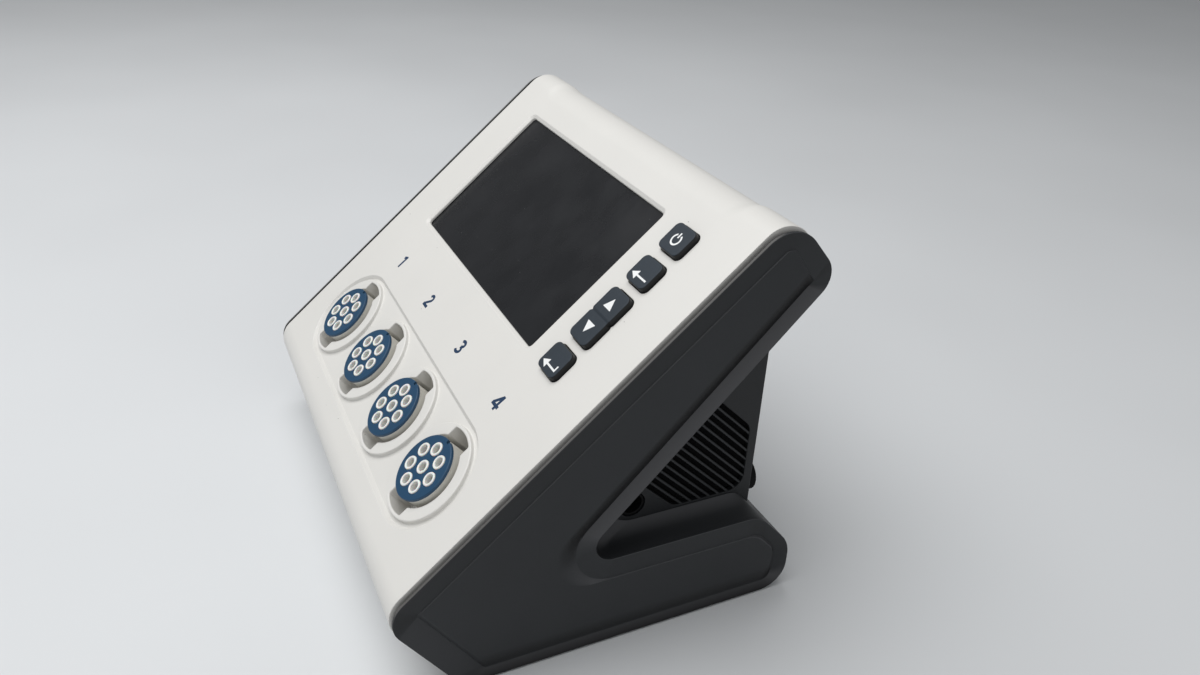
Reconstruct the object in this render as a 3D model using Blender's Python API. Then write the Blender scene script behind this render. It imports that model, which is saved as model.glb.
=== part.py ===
"""Compression therapy pump: a leaning front cover between two V-shaped cheeks, with its works inside.

Metres, +Z up, front towards -Y. The origin lies on the table under the middle of the body.
The side outline is drawn in the Y-Z plane. The panel has axes of its own: x across, s up the slope
from the row of outlets, n out of the panel's surface.
"""
import math

import bmesh
import bpy
from mathutils import Matrix, Vector

# Side outline
TILT = math.radians(40.9)
CHIN_Y = -0.1015
CHIN_Z = 0.0476
CHIN_SLOPE = math.radians(55.4)
PANEL_LENGTH = 0.2318
ARM_END_DEPTH = 0.0388
UNDERSIDE_SLOPE = math.radians(45.8)
ARM_TOP_Z = 0.0485
SHELL_BOTTOM_Z = 0.0020
BASE_REAR_Y = 0.0977
BASE_NOSE_Z = 0.0265
BASE_SLOPE = math.radians(47.8)
CHIN_RADIUS = 0.0137
FRONT_FOOT_RADIUS = 0.0080
REAR_FOOT_RADIUS = 0.0133
BASE_NOSE_RADIUS = 0.0190
BASE_TOP_RADIUS = 0.0150
GAP_NOSE_RADIUS = 0.0088
ARM_END_RADIUS = 0.0114
TOP_RADIUS = 0.0160
SETBACK_TOP_RADIUS = 0.0130
SMALLEST_RADIUS = 0.0005

# Widths, walls and clearances
COVER_HALF_WIDTH = 0.1257
COVER_OVERHANG = 0.0119
REVEAL = 0.0026
RIM_WIDTH = 0.0014
RIM_DROP = 0.0006
GAP = 0.0003
COVER_WALL = 0.0025
COVER_LIP = 0.0047
WALL = 0.0025
SETBACK = COVER_LIP + GAP
OVERRUN = 0.0100
MERGE = 0.000001
CORNER_STEPS = 5
SMOOTH_BELOW = math.radians(35)

# Cheeks
LEDGE_RISE = 0.0050
LEDGE_SHARES = ((0.0, 1.0), (0.18, 0.45), (0.45, 0.12))
GROOVE_DRAFT = 0.0002
RIM_ROUND = 0.0006
BORDER_DEPTH = 0.0020
CHEEK_FACE = 0.0020
FIELD_PANEL_BORDER = 0.0119
FIELD_CHIN_BORDER = 0.0099
FIELD_BOTTOM_BORDER = 0.0076
FIELD_REAR_BORDER = 0.0066
FIELD_SLOPE_BORDER = 0.0111
FIELD_ARM_TOP_BORDER = 0.0152
FIELD_UNDERSIDE_BORDER = 0.0106
FIELD_UNDERSIDE_END_BORDER = 0.0073
FIELD_END_BORDER = 0.0100
FIELD_CHIN_RADIUS = 0.0025
FIELD_FRONT_FOOT_RADIUS = 0.0030
FIELD_REAR_FOOT_RADIUS = 0.0050
FIELD_BASE_NOSE_RADIUS = 0.0080
FIELD_BASE_TOP_RADIUS = 0.0095
FIELD_NOSE_RADIUS = 0.0237
FIELD_ARM_END_RADIUS = 0.0030
FIELD_TOP_RADIUS = 0.0043
SHOULDER_WIDTH = 0.0012
SOFT_SHOULDER_WIDTH = 0.0040
SHOULDER_RISE = 0.0012
PLATEAU_WIDTH = 0.0026
SOFT_PLATEAU_WIDTH = 0.0070
PLATEAU_RISE = 0.0017

# Front cover
COVER_FOOT_CLEAR = 0.0070
LIP_DRAFT = 0.0003
COVER_TOP_RADIUS = 0.0140
GRIP_RADIUS = 0.0178
GRIP_MARGIN = 0.0312
GRIP_BLEND = 0.0090
GRIP_BLEND_SHARES = ((0.0, 0.0), (0.35, 0.25), (0.65, 0.75), (1.0, 1.0))

# Outlets
ROW_FROM_CHIN = 0.0480
OUTLET_COUNT = 4
ROW_SIDE_MARGIN = 0.0213
TRAY_MARGIN = 0.0036
TRAY_DEPTH = 0.0018
TRAY_DRAFT = 0.0016
TRAY_BACKING = 0.0045
COLLAR_MARGIN = 0.0019
COLLAR_WIDTH = 0.0063
COLLAR_HEIGHT = 0.0004
WELL_DEPTH = 0.0140
WELL_FLOOR = 0.0020
NOTCH_HALF_WIDTH = 0.0084
NOTCH_MARGIN = 0.0017
SLEEVE_CLEARANCE = 0.0023
SLEEVE_WALL = 0.0016
SLEEVE_TOP = 0.0017
SLEEVE_TAIL = 0.0220
SLEEVE_FLANGE_WIDTH = 0.0034
CAP_EDGE = 0.0004
CAP_TOP = 0.0035
KEY_NOTCH_WIDTH = 0.0018
KEY_NOTCH_DEPTH = 0.0014
TUBE_RING_SHARE = 0.68
TUBES_ON_RING = 7
TUBE_RADIUS_SHARE = 0.243
TUBE_WALL = 0.0012
TUBE_TOP = 0.0041
TUBE_PLATE = 0.0030
TUBE_SIDES = 8
BORE_SIDES = 6
TURN_SIDES = 20
COLLAR_SIDES = 24
PORT_SIDES = 20
FOOT_SIDES = 16
SMALL_SIDES = 12
SCREW_SIDES = 8
HOSE_RADIUS_SHARE = 0.64
HOSE_WALL = 0.0030
MANIFOLD_BEHIND = 0.0340

# Display
WINDOW_SIDE_MARGIN = 0.0329
WINDOW_FROM_KEYS = 0.0243
WINDOW_S = 0.1106
WINDOW_HEIGHT = 0.0847
WINDOW_RADIUS = 0.0022
WINDOW_BEVEL = 0.0019
WINDOW_BEVEL_DEPTH = 0.0013
LENS_MARGIN = 0.0040
LENS_THICKNESS = 0.0015
MODULE_THICKNESS = 0.0065
FRAME_MARGIN = 0.0020
FRAME_THICKNESS = 0.0010
FRAME_LIP = 0.0040
POST_RADIUS = 0.0030
POST_INSET = 0.0080
BOARD_BEHIND = 0.0200
BOARD_THICKNESS = 0.0016
CHIP_HEIGHT = 0.0050
CHIP_SHARES = (
    (-0.3, 0.15, 0.22, 0.3),
    (0.05, -0.1, 0.2, 0.35),
    (0.32, 0.1, 0.14, 0.45),
    (-0.25, -0.3, 0.3, 0.14),
)

# Keys
KEY_SIDE_MARGIN = 0.0371
KEY_WIDTH = 0.0160
KEY_HEIGHT = 0.0142
KEY_RADIUS = 0.0030
KEY_CLEARANCE = 0.0005
KEY_PROUD = 0.0021
KEY_DOME = 0.0008
KEY_DOME_INSET = 0.0010
KEY_FLANGE = 0.0015
KEY_FLANGE_WIDTH = 0.0015
KEY_TRAVEL = 0.0010
POWER_S = 0.1468
BACK_S = 0.1272
ROCKER_S = 0.1006
ENTER_S = 0.0741
ROCKER_HEIGHT = 0.0287
ROCKER_WAIST = 0.0008
ROCKER_WAIST_HALF = 0.0012
ROCKER_GROOVE = 0.0006
ROCKER_TAB_HALF = 0.0025
SWITCH_SIDE = 0.0060
SWITCH_CLEARANCE = 0.0002
SWITCH_HEIGHT = 0.0025
KEYPAD_MARGIN = 0.0030
KEYPAD_POST_RADIUS = 0.0025
KEYPAD_POST_OFFSET = 0.0125
KEYPAD_POST_S = (0.0840, 0.1370)

# Middle housing and grilles
REAR_WALL_Y = 0.0815
SEAM_Z = 0.0400
GRILLE_START = 0.0446
GRILLE_LENGTH = 0.0523
GRILLE_TOP_MARGIN = 0.0050
GRILLE_BOTTOM_Z = 0.0547
GRILLE_REAR_Y = 0.0768
GRILLE_RADIUS = 0.0080
SLOT_COUNT = 15
SLOT_WIDTH = 0.0023
PORT_Y = 0.0178
PORT_Z = 0.0618
PORT_RADIUS = 0.0064
PORT_WALL = 0.0012
PORT_LENGTH = 0.0080
PORT_SUNK = 0.0005
INLET_SIDE_MARGIN = 0.0108
INLET_Z = 0.0540
INLET_RADIUS = 0.0085
INLET_PROUD = 0.0052
INLET_NECK_RADIUS = 0.0060
INLET_TAIL = 0.0010
INLET_BORE = 0.0038
INLET_FLOOR = 0.0010
INLET_PIN_RADIUS = 0.0010
INLET_PIN_SHORT = 0.0020

# Base
FOOT_SIDE_MARGIN = 0.0218
FOOT_RADIUS = 0.0080
FOOT_HEIGHT = 0.0030
FOOT_CHAMFER = 0.0005
FRONT_FOOT_Y = -0.0480
REAR_FOOT_Y = 0.0740
SCREW_SIDE_MARGIN = 0.0078
SCREW_BOSS_RADIUS = 0.0048
SCREW_BOSS_TOP_Z = 0.0120
SCREW_HEAD_RADIUS = 0.0034
SCREW_HEAD_HEIGHT = 0.0018
SCREW_HEAD_SUNK = 0.0006
SCREW_RADIUS = 0.0015
SCREW_LENGTH = 0.0150
SCREW_POST_TOP_Z = 0.0470
SCREW_POST_RADIUS = 0.0045

# Works on the base
VALVE_SIDE_MARGIN = 0.0188
VALVE_FRONT_Y = -0.0500
VALVE_REAR_Y = -0.0240
PUMP_SIDE_MARGIN = 0.0288
PUMP_WIDTH = 0.0500
PUMP_Y = 0.0050
PUMP_DEPTH = 0.0600
PUMP_HEIGHT = 0.0580
PUMP_CHAMFER = 0.0060
MOTOR_RADIUS = 0.0240
MOTOR_END_CLEARANCE = 0.0267
MOTOR_SHAFT_Z = 0.0320
MOTOR_FOOT_HALF_WIDTH = 0.0120
SUPPLY_RADIUS = 0.0040
SUPPLY_Z = 0.0300
SUPPLY_FROM_PUMP_SIDE = 0.0150
SUPPLY_WALL = 0.0012
PSU_SIDE_MARGIN = 0.0168
PSU_WIDTH = 0.0550
PSU_Y = 0.0050
PSU_DEPTH = 0.0650
PSU_HEIGHT = 0.0320
PSU_CHAMFER = 0.0020
FILTER_THICKNESS = 0.0021
FAN_SIDE = 0.0480
FAN_DEPTH = 0.0100
FAN_Y = 0.0510
FAN_Z = 0.0820
FAN_BORE = 0.0225
FAN_HUB_RADIUS = 0.0090
FAN_PLATE = 0.0015
FAN_STRUT_HALF_WIDTH = 0.0012
FAN_CORNER_RADIUS = 0.0030
FAN_BLADE_CLEAR = 0.0007
FAN_BLADE_THICKNESS = 0.0010
FAN_BLADES = 7
FAN_BLADE_PITCH = math.radians(35)
FAN_SHAFT_RADIUS = 0.0015

MIDDLE_HALF_WIDTH = COVER_HALF_WIDTH - COVER_OVERHANG
CHEEK_INNER_X = MIDDLE_HALF_WIDTH + GAP
GROOVE_X = COVER_HALF_WIDTH + REVEAL
CHEEK_X = GROOVE_X + RIM_WIDTH
GRIP_HALF_WIDTH = COVER_HALF_WIDTH - GRIP_MARGIN
OUTLET_PITCH = 2 * (COVER_HALF_WIDTH - ROW_SIDE_MARGIN) / OUTLET_COUNT
COLLAR_RADIUS = OUTLET_PITCH / 2 - COLLAR_MARGIN
TRAY_RADIUS = COLLAR_RADIUS + TRAY_MARGIN
WELL_RADIUS = COLLAR_RADIUS - COLLAR_WIDTH
NOTCH_RADIUS = COLLAR_RADIUS - NOTCH_MARGIN
SLEEVE_RADIUS = WELL_RADIUS - SLEEVE_CLEARANCE
SLEEVE_BORE = SLEEVE_RADIUS - SLEEVE_WALL
SLEEVE_FLANGE_RADIUS = SLEEVE_RADIUS + SLEEVE_FLANGE_WIDTH
CAP_RADIUS = SLEEVE_RADIUS + CAP_EDGE
TUBE_RING_RADIUS = SLEEVE_BORE * TUBE_RING_SHARE
TUBE_RADIUS = SLEEVE_BORE * TUBE_RADIUS_SHARE
TUBE_BORE = TUBE_RADIUS - TUBE_WALL
HOSE_RADIUS = SLEEVE_BORE * HOSE_RADIUS_SHARE
HOSE_BORE = HOSE_RADIUS - HOSE_WALL
KEY_X = COVER_HALF_WIDTH - KEY_SIDE_MARGIN
WINDOW_LEFT_X = WINDOW_SIDE_MARGIN - COVER_HALF_WIDTH
WINDOW_RIGHT_X = KEY_X - WINDOW_FROM_KEYS
WINDOW_X = (WINDOW_LEFT_X + WINDOW_RIGHT_X) / 2
WINDOW_WIDTH = WINDOW_RIGHT_X - WINDOW_LEFT_X
INLET_X = MIDDLE_HALF_WIDTH - INLET_SIDE_MARGIN
FOOT_X = MIDDLE_HALF_WIDTH - FOOT_SIDE_MARGIN
SCREW_X = MIDDLE_HALF_WIDTH - SCREW_SIDE_MARGIN
VALVE_HALF_WIDTH = MIDDLE_HALF_WIDTH - VALVE_SIDE_MARGIN
PSU_X = MIDDLE_HALF_WIDTH - PSU_SIDE_MARGIN - PSU_WIDTH
PUMP_X = PUMP_SIDE_MARGIN - MIDDLE_HALF_WIDTH
MOTOR_X = PUMP_X + PUMP_WIDTH + GAP
MOTOR_LENGTH = PSU_X - MOTOR_END_CLEARANCE - MOTOR_X
UP_SLOPE = Vector((math.cos(TILT), math.sin(TILT)))
OUT_OF_PANEL = Vector((-math.sin(TILT), math.cos(TILT)))
ROW_ORIGIN = Vector((CHIN_Y, CHIN_Z)) + UP_SLOPE * ROW_FROM_CHIN
BASE_FLOOR_Z = SHELL_BOTTOM_Z + WALL
KEY_SEAT = -COVER_WALL - GAP - KEY_FLANGE / 2
OUTLET_X = [(index - (OUTLET_COUNT - 1) / 2) * OUTLET_PITCH for index in range(OUTLET_COUNT)]

MATERIALS = {
    "off_white_abs": ((0.72, 0.71, 0.68), 0.45, 0.0),
    "dark_grey_abs": ((0.035, 0.037, 0.042), 0.55, 0.0),
    "key_rubber": ((0.045, 0.065, 0.085), 0.55, 0.0),
    "lens_glass": ((0.02, 0.021, 0.024), 0.15, 0.0),
    "blue_plastic": ((0.014, 0.067, 0.17), 0.4, 0.0),
    "grey_plastic": ((0.38, 0.39, 0.37), 0.5, 0.0),
    "white_plastic": ((0.8, 0.8, 0.78), 0.4, 0.0),
    "black_plastic": ((0.012, 0.012, 0.013), 0.5, 0.0),
    "foot_rubber": ((0.02, 0.02, 0.02), 0.9, 0.0),
    "circuit_board": ((0.02, 0.12, 0.05), 0.5, 0.0),
    "steel": ((0.5, 0.5, 0.5), 0.35, 1.0),
    "cast_metal": ((0.45, 0.45, 0.46), 0.5, 1.0),
    "hose_silicone": ((0.6, 0.6, 0.58), 0.5, 0.0),
    "filter_foam": ((0.05, 0.05, 0.05), 0.95, 0.0),
}


def clear_scene():
    for item in list(bpy.data.objects):
        bpy.data.objects.remove(item, do_unlink=True)


def make_material(name, kind):
    colour, roughness, metallic = MATERIALS[kind]
    material = bpy.data.materials.new(f"{name}_{kind}")
    material.use_nodes = True
    shader = material.node_tree.nodes["Principled BSDF"]
    shader.inputs["Base Color"].default_value = (*colour, 1.0)
    shader.inputs["Roughness"].default_value = roughness
    shader.inputs["Metallic"].default_value = metallic
    return material


# Outlines: corners are (a, b, radius), counter-clockwise


def arc_at(before, corner, after, radius, steps):
    """Points of the arc that rounds a corner between two neighbours."""
    to_before = (before - corner).normalized()
    to_after = (after - corner).normalized()
    half = to_before.angle(to_after) / 2
    reach = radius / math.tan(half)
    centre = corner + (to_before + to_after).normalized() * (radius / math.sin(half))
    start = corner + to_before * reach - centre
    end = corner + to_after * reach - centre
    sweep = math.atan2(start.x * end.y - start.y * end.x, start.dot(end))
    return [centre + Matrix.Rotation(sweep * step / steps, 2) @ start for step in range(steps + 1)]


def rounded(corners, steps=CORNER_STEPS, even=False):
    """A closed outline with each corner rounded by its own radius, the sharp ones in one step."""
    places = [Vector(corner[:2]) for corner in corners]
    points = []
    for index, corner in enumerate(corners):
        after = places[(index + 1) % len(places)]
        steps_here = steps if even or corner[2] > SMALLEST_RADIUS else 1
        points += arc_at(places[index - 1], places[index], after, corner[2], steps_here)
    return points


def inset(corners, depths):
    """The outline moved inwards, with one depth per side, or a pair for a side that turns."""
    lines = []
    for index, depth in enumerate(depths):
        start = Vector(corners[index][:2])
        end = Vector(corners[(index + 1) % len(corners)][:2])
        along = (end - start).normalized()
        inward = Vector((-along.y, along.x))
        first, last = depth if isinstance(depth, tuple) else (depth, depth)
        moved_start = start + inward * first
        moved_end = end + inward * last
        lines.append((moved_start, (moved_end - moved_start).normalized(), min(first, last)))
    moved = []
    for index, corner in enumerate(corners):
        place, along, depth = lines[index - 1]
        next_place, next_along, next_depth = lines[index]
        turn = along.x * next_along.y - along.y * next_along.x
        offset = next_place - place
        reach = (offset.x * next_along.y - offset.y * next_along.x) / turn
        change = depth if depth == next_depth else abs(min(depth, next_depth))
        radius = corner[2] - (change if turn > 0 else -change)
        where = place + along * reach
        moved.append((where.x, where.y, max(radius, SMALLEST_RADIUS)))
    return moved


def with_radii(corners, radii):
    return [(corner[0], corner[1], radius) for corner, radius in zip(corners, radii)]


def body_corners(top_radius=TOP_RADIUS):
    """Whole side outline: chin, front foot, rear foot, base nose, base top, gap, arm end, top."""
    chin = Vector((CHIN_Y, CHIN_Z))
    top = chin + UP_SLOPE * PANEL_LENGTH
    arm_end = top - OUT_OF_PANEL * ARM_END_DEPTH
    front_foot_y = CHIN_Y + (CHIN_Z - SHELL_BOTTOM_Z) / math.tan(CHIN_SLOPE)
    base_top_y = BASE_REAR_Y - (ARM_TOP_Z - BASE_NOSE_Z) / math.tan(BASE_SLOPE)
    gap_y = arm_end.x - (arm_end.y - ARM_TOP_Z) / math.tan(UNDERSIDE_SLOPE)
    return [
        (CHIN_Y, CHIN_Z, CHIN_RADIUS),
        (front_foot_y, SHELL_BOTTOM_Z, FRONT_FOOT_RADIUS),
        (BASE_REAR_Y, SHELL_BOTTOM_Z, REAR_FOOT_RADIUS),
        (BASE_REAR_Y, BASE_NOSE_Z, BASE_NOSE_RADIUS),
        (base_top_y, ARM_TOP_Z, BASE_TOP_RADIUS),
        (gap_y, ARM_TOP_Z, GAP_NOSE_RADIUS),
        (arm_end.x, arm_end.y, ARM_END_RADIUS),
        (top.x, top.y, top_radius),
    ]


def core_corners(rise=0.0, depth=0.0):
    """What lies under the cover: the body outline set back on chin, end and panel."""
    sides = [SETBACK, 0.0, 0.0, 0.0, -rise, 0.0, SETBACK, SETBACK]
    corners = inset(body_corners(), sides)
    corners[-1] = (corners[-1][0], corners[-1][1], SETBACK_TOP_RADIUS)
    return inset(corners, [depth] * len(corners)) if depth else corners


# Meshes


def add_object(name, mesh, kind, matrix=None):
    item = bpy.data.objects.new(name, mesh)
    bpy.context.scene.collection.objects.link(item)
    if matrix is not None:
        item.matrix_world = matrix
    item.data.materials.clear()
    item.data.materials.append(make_material(name, kind))
    return item


def finish_mesh(name, work):
    bmesh.ops.remove_doubles(work, verts=work.verts, dist=MERGE)
    bmesh.ops.recalc_face_normals(work, faces=work.faces)
    mesh = bpy.data.meshes.new(name)
    work.to_mesh(mesh)
    work.free()
    return mesh


def loft(name, rings):
    """Skin over rings of equal count: a face drawn out from ring to ring, closed at both ends."""
    work = bmesh.new()
    face = work.faces.new([work.verts.new(point) for point in rings[0]])
    passed = []
    for ring in rings[1:]:
        drawn = bmesh.ops.extrude_face_region(work, geom=[face], use_keep_orig=True)["geom"]
        passed.append(face)
        face = next(part for part in drawn if isinstance(part, bmesh.types.BMFace))
        for vertex, point in zip(face.verts, ring):
            vertex.co = point
    bmesh.ops.delete(work, geom=passed[1:], context="FACES_ONLY")
    return finish_mesh(name, work)


def side_ring(x, points):
    """A Y-Z outline at one x."""
    return [Vector((x, point[0], point[1])) for point in points]


def side_prism(name, points, x_low, x_high):
    return loft(name, [side_ring(x_low, points), side_ring(x_high, points)])


def level_rings(levels):
    """Outlines in a piece's own x-y plane, each at its own height."""
    return [[Vector((point[0], point[1], height)) for point in points] for height, points in levels]


def cylinder(name, radius, low, high, sides=TURN_SIDES, centre=(0.0, 0.0)):
    work = bmesh.new()
    bmesh.ops.create_cone(
        work,
        cap_ends=True,
        segments=sides,
        radius1=radius,
        radius2=radius,
        depth=high - low,
        matrix=Matrix.Translation((*centre, (low + high) / 2)),
    )
    return finish_mesh(name, work)


def turned(name, profile, sides=TURN_SIDES, closed=False):
    """A profile of (radius, height) spun about the piece's own z axis."""
    work = bmesh.new()
    points = [work.verts.new((radius, 0, height)) for radius, height in profile]
    edges = [work.edges.new(pair) for pair in zip(points, points[1:])]
    if closed:
        edges.append(work.edges.new((points[-1], points[0])))
    bmesh.ops.spin(
        work,
        geom=points + edges,
        axis=(0, 0, 1),
        cent=(0, 0, 0),
        angle=2 * math.pi,
        steps=sides,
        use_merge=True,
    )
    return finish_mesh(name, work)


def box(name, low, high):
    size = Vector(high) - Vector(low)
    place = Matrix.Translation((Vector(low) + Vector(high)) / 2)
    work = bmesh.new()
    bmesh.ops.create_cube(work, size=1, matrix=place @ Matrix.Diagonal((*size, 1)))
    return finish_mesh(name, work)


def rectangle(width, height, radius, centre=(0.0, 0.0), steps=3):
    across, up = width / 2, height / 2
    signs = ((-1, -1), (1, -1), (1, 1), (-1, 1))
    corners = [(centre[0] + across * a, centre[1] + up * b, radius) for a, b in signs]
    return rounded(corners, steps)


def combine(item, meshes, operation, matrix=None):
    """Boolean the meshes into an object, one after another, and keep the result as its mesh."""
    for mesh in meshes:
        tool = bpy.data.objects.new("tool", mesh)
        bpy.context.scene.collection.objects.link(tool)
        tool.matrix_world = matrix if matrix is not None else item.matrix_world
        tool.hide_render = True
        tool.display_type = "WIRE"
        modifier = item.modifiers.new("combine", "BOOLEAN")
        modifier.operation = operation
        modifier.object = tool
        modifier.solver = "EXACT"
        bpy.context.view_layer.update()
        seen = item.evaluated_get(bpy.context.evaluated_depsgraph_get())
        result = bpy.data.meshes.new_from_object(seen)
        item.modifiers.clear()
        item.data = result
        bpy.data.objects.remove(tool, do_unlink=True)
    tidy_mesh(item)
    return item


def tidy_mesh(item):
    """Merge the doubled points that a Boolean leaves."""
    work = bmesh.new()
    work.from_mesh(item.data)
    bmesh.ops.remove_doubles(work, verts=work.verts, dist=MERGE)
    bmesh.ops.dissolve_degenerate(work, edges=work.edges, dist=MERGE)
    work.to_mesh(item.data)
    work.free()


def cut(item, meshes, matrix=None):
    return combine(item, meshes, "DIFFERENCE", matrix)


def join(item, meshes, matrix=None):
    return combine(item, meshes, "UNION", matrix)


# Places


def panel_matrix(x=0.0, s=0.0, n=0.0):
    """The panel's frame: x across, y up the slope, z out of the surface."""
    place = ROW_ORIGIN + UP_SLOPE * s + OUT_OF_PANEL * n
    matrix = Matrix.Rotation(TILT, 4, "X")
    matrix.translation = Vector((x, place.x, place.y))
    return matrix


def along_x(x, y, z):
    """A frame whose own z axis runs along +X."""
    matrix = Matrix.Rotation(math.pi / 2, 4, "Y")
    matrix.translation = Vector((x, y, z))
    return matrix


def along_y(x, y, z):
    """A frame whose own z axis runs along +Y."""
    matrix = Matrix.Rotation(-math.pi / 2, 4, "X")
    matrix.translation = Vector((x, y, z))
    return matrix


def underside_point(along, below):
    """A Y-Z place measured along the arm's underside from the gap's corner, and square below it."""
    corner = Vector(body_corners()[5][:2])
    direction = Vector((math.cos(UNDERSIDE_SLOPE), math.sin(UNDERSIDE_SLOPE)))
    return corner + direction * along + Vector((direction.y, -direction.x)) * below


# Casing


def field_outline(crisp=0.0, soft=0.0):
    """The raised field of a cheek inside its border, rising softly from the bottom and the underside."""
    sides = [
        FIELD_CHIN_BORDER,
        FIELD_BOTTOM_BORDER,
        FIELD_REAR_BORDER,
        FIELD_SLOPE_BORDER,
        FIELD_ARM_TOP_BORDER,
        (FIELD_UNDERSIDE_BORDER, FIELD_UNDERSIDE_END_BORDER),
        FIELD_END_BORDER,
        FIELD_PANEL_BORDER,
    ]
    radii = [
        FIELD_CHIN_RADIUS,
        FIELD_FRONT_FOOT_RADIUS,
        FIELD_REAR_FOOT_RADIUS,
        FIELD_BASE_NOSE_RADIUS,
        FIELD_BASE_TOP_RADIUS,
        FIELD_NOSE_RADIUS,
        FIELD_ARM_END_RADIUS,
        FIELD_TOP_RADIUS,
    ]
    corners = with_radii(inset(body_corners(), sides), radii)
    depths = [crisp, soft, crisp, crisp, crisp, soft, crisp, crisp]
    return rounded(inset(corners, depths) if soft else corners, even=True)


def make_cheek(name, side):
    """One side shell: a V-shaped pan, open inwards, with a dished outer face."""
    body = inset(body_corners(), [RIM_DROP, 0.0, 0.0, 0.0, 0.0, 0.0, 0.0, RIM_DROP])
    hollow = rounded(core_corners(depth=WALL), even=True)
    hollow_end = CHEEK_X - BORDER_DEPTH - CHEEK_FACE
    sections = [(hollow_end, hollow), (CHEEK_INNER_X, hollow)]
    for across_share, rise_share in LEDGE_SHARES:
        x = CHEEK_INNER_X + (GROOVE_X - CHEEK_INNER_X) * across_share
        sections.append((x, rounded(core_corners(rise=LEDGE_RISE * rise_share), even=True)))
    sections += [
        (GROOVE_X, rounded(core_corners(), even=True)),
        (GROOVE_X + GROOVE_DRAFT, rounded(body, even=True)),
        (CHEEK_X - RIM_ROUND, rounded(body, even=True)),
        (CHEEK_X, rounded(inset(body, [RIM_ROUND] * len(body)), even=True)),
        (CHEEK_X - BORDER_DEPTH, field_outline()),
        (CHEEK_X - BORDER_DEPTH + SHOULDER_RISE, field_outline(SHOULDER_WIDTH, SOFT_SHOULDER_WIDTH)),
        (CHEEK_X - BORDER_DEPTH + PLATEAU_RISE, field_outline(PLATEAU_WIDTH, SOFT_PLATEAU_WIDTH)),
    ]
    rings = [side_ring(side * x, points) for x, points in sections]
    return add_object(name, loft(name, rings), "dark_grey_abs")


def cover_path(depth, top_radius):
    """The cover's line from its rear end over the top and the panel to the chin's foot."""
    outer = [Vector(corner[:2]) for corner in body_corners()]
    chin, foot, arm_end, top = outer[0], outer[1], outer[6], outer[7]
    corners = inset(body_corners(top_radius), [depth] * len(outer))
    places = [Vector(corner[:2]) for corner in corners]
    half = (outer[5] - arm_end).angle(top - arm_end) / 2
    end = arm_end + (top - arm_end).normalized() * (ARM_END_RADIUS / math.tan(half))
    end -= UP_SLOPE * depth
    down_chin = (foot - chin).normalized()
    start = foot - down_chin * COVER_FOOT_CLEAR + Vector((-down_chin.y, down_chin.x)) * depth
    over_top = arc_at(places[6], places[7], places[0], corners[7][2], CORNER_STEPS + 1)
    over_chin = arc_at(places[7], places[0], places[1], corners[0][2], CORNER_STEPS + 1)
    return [end] + over_top + over_chin + [start]


def cover_section(thickness, top_radius):
    return cover_path(0.0, top_radius) + cover_path(thickness, top_radius)[::-1]


def well_outline():
    """A round well with a finger notch above and below, as one outline."""
    notch_turn = math.asin(NOTCH_HALF_WIDTH / WELL_RADIUS)
    tip_turn = math.asin(NOTCH_HALF_WIDTH / NOTCH_RADIUS)
    points = []
    for middle, radius, half, steps in (
        (0.0, WELL_RADIUS, math.pi / 2 - notch_turn, 7),
        (math.pi / 2, NOTCH_RADIUS, tip_turn, 2),
        (math.pi, WELL_RADIUS, math.pi / 2 - notch_turn, 7),
        (-math.pi / 2, NOTCH_RADIUS, tip_turn, 2),
    ):
        for step in range(steps + 1):
            turn = middle + half * (2 * step / steps - 1)
            points.append(Vector((radius * math.cos(turn), radius * math.sin(turn))))
    return points


def tray_outline(radius):
    """A stadium round the row of outlets."""
    reach = OUTLET_X[-1]
    points = []
    for middle, centre in ((0.0, reach), (math.pi, -reach)):
        for step in range(2 * CORNER_STEPS + 1):
            turn = middle - math.pi / 2 + math.pi * step / (2 * CORNER_STEPS)
            points.append(Vector((centre + radius * math.cos(turn), radius * math.sin(turn))))
    return points


def window_levels():
    """The display opening: bevelled at the face, straight below."""
    centre = (WINDOW_X, WINDOW_S)
    wide = rectangle(
        WINDOW_WIDTH + 2 * WINDOW_BEVEL,
        WINDOW_HEIGHT + 2 * WINDOW_BEVEL,
        WINDOW_RADIUS + WINDOW_BEVEL,
        centre,
    )
    plain = rectangle(WINDOW_WIDTH, WINDOW_HEIGHT, WINDOW_RADIUS, centre)
    return [(OVERRUN, wide), (0.0, wide), (-WINDOW_BEVEL_DEPTH, plain), (-OVERRUN, plain)]


def key_outline(height, margin=0.0, waist=0.0):
    """A key seen square on, with the rocker's waist where it has one."""
    width = KEY_WIDTH + 2 * margin
    tall = height + 2 * margin
    radius = KEY_RADIUS + margin
    if not waist:
        return rectangle(width, tall, radius)
    across, up = width / 2, tall / 2
    half = ROCKER_WAIST_HALF
    corners = [
        (-across, -up, radius),
        (across, -up, radius),
        (across, -half, SMALLEST_RADIUS),
        (across - waist, 0.0, SMALLEST_RADIUS),
        (across, half, SMALLEST_RADIUS),
        (across, up, radius),
        (-across, up, radius),
        (-across, half, SMALLEST_RADIUS),
        (-across + waist, 0.0, SMALLEST_RADIUS),
        (-across, -half, SMALLEST_RADIUS),
    ]
    return rounded(corners, 3)


KEYS = (
    ("power_button", POWER_S, KEY_HEIGHT),
    ("back_button", BACK_S, KEY_HEIGHT),
    ("up_down_rocker", ROCKER_S, ROCKER_HEIGHT),
    ("enter_button", ENTER_S, KEY_HEIGHT),
)


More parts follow.
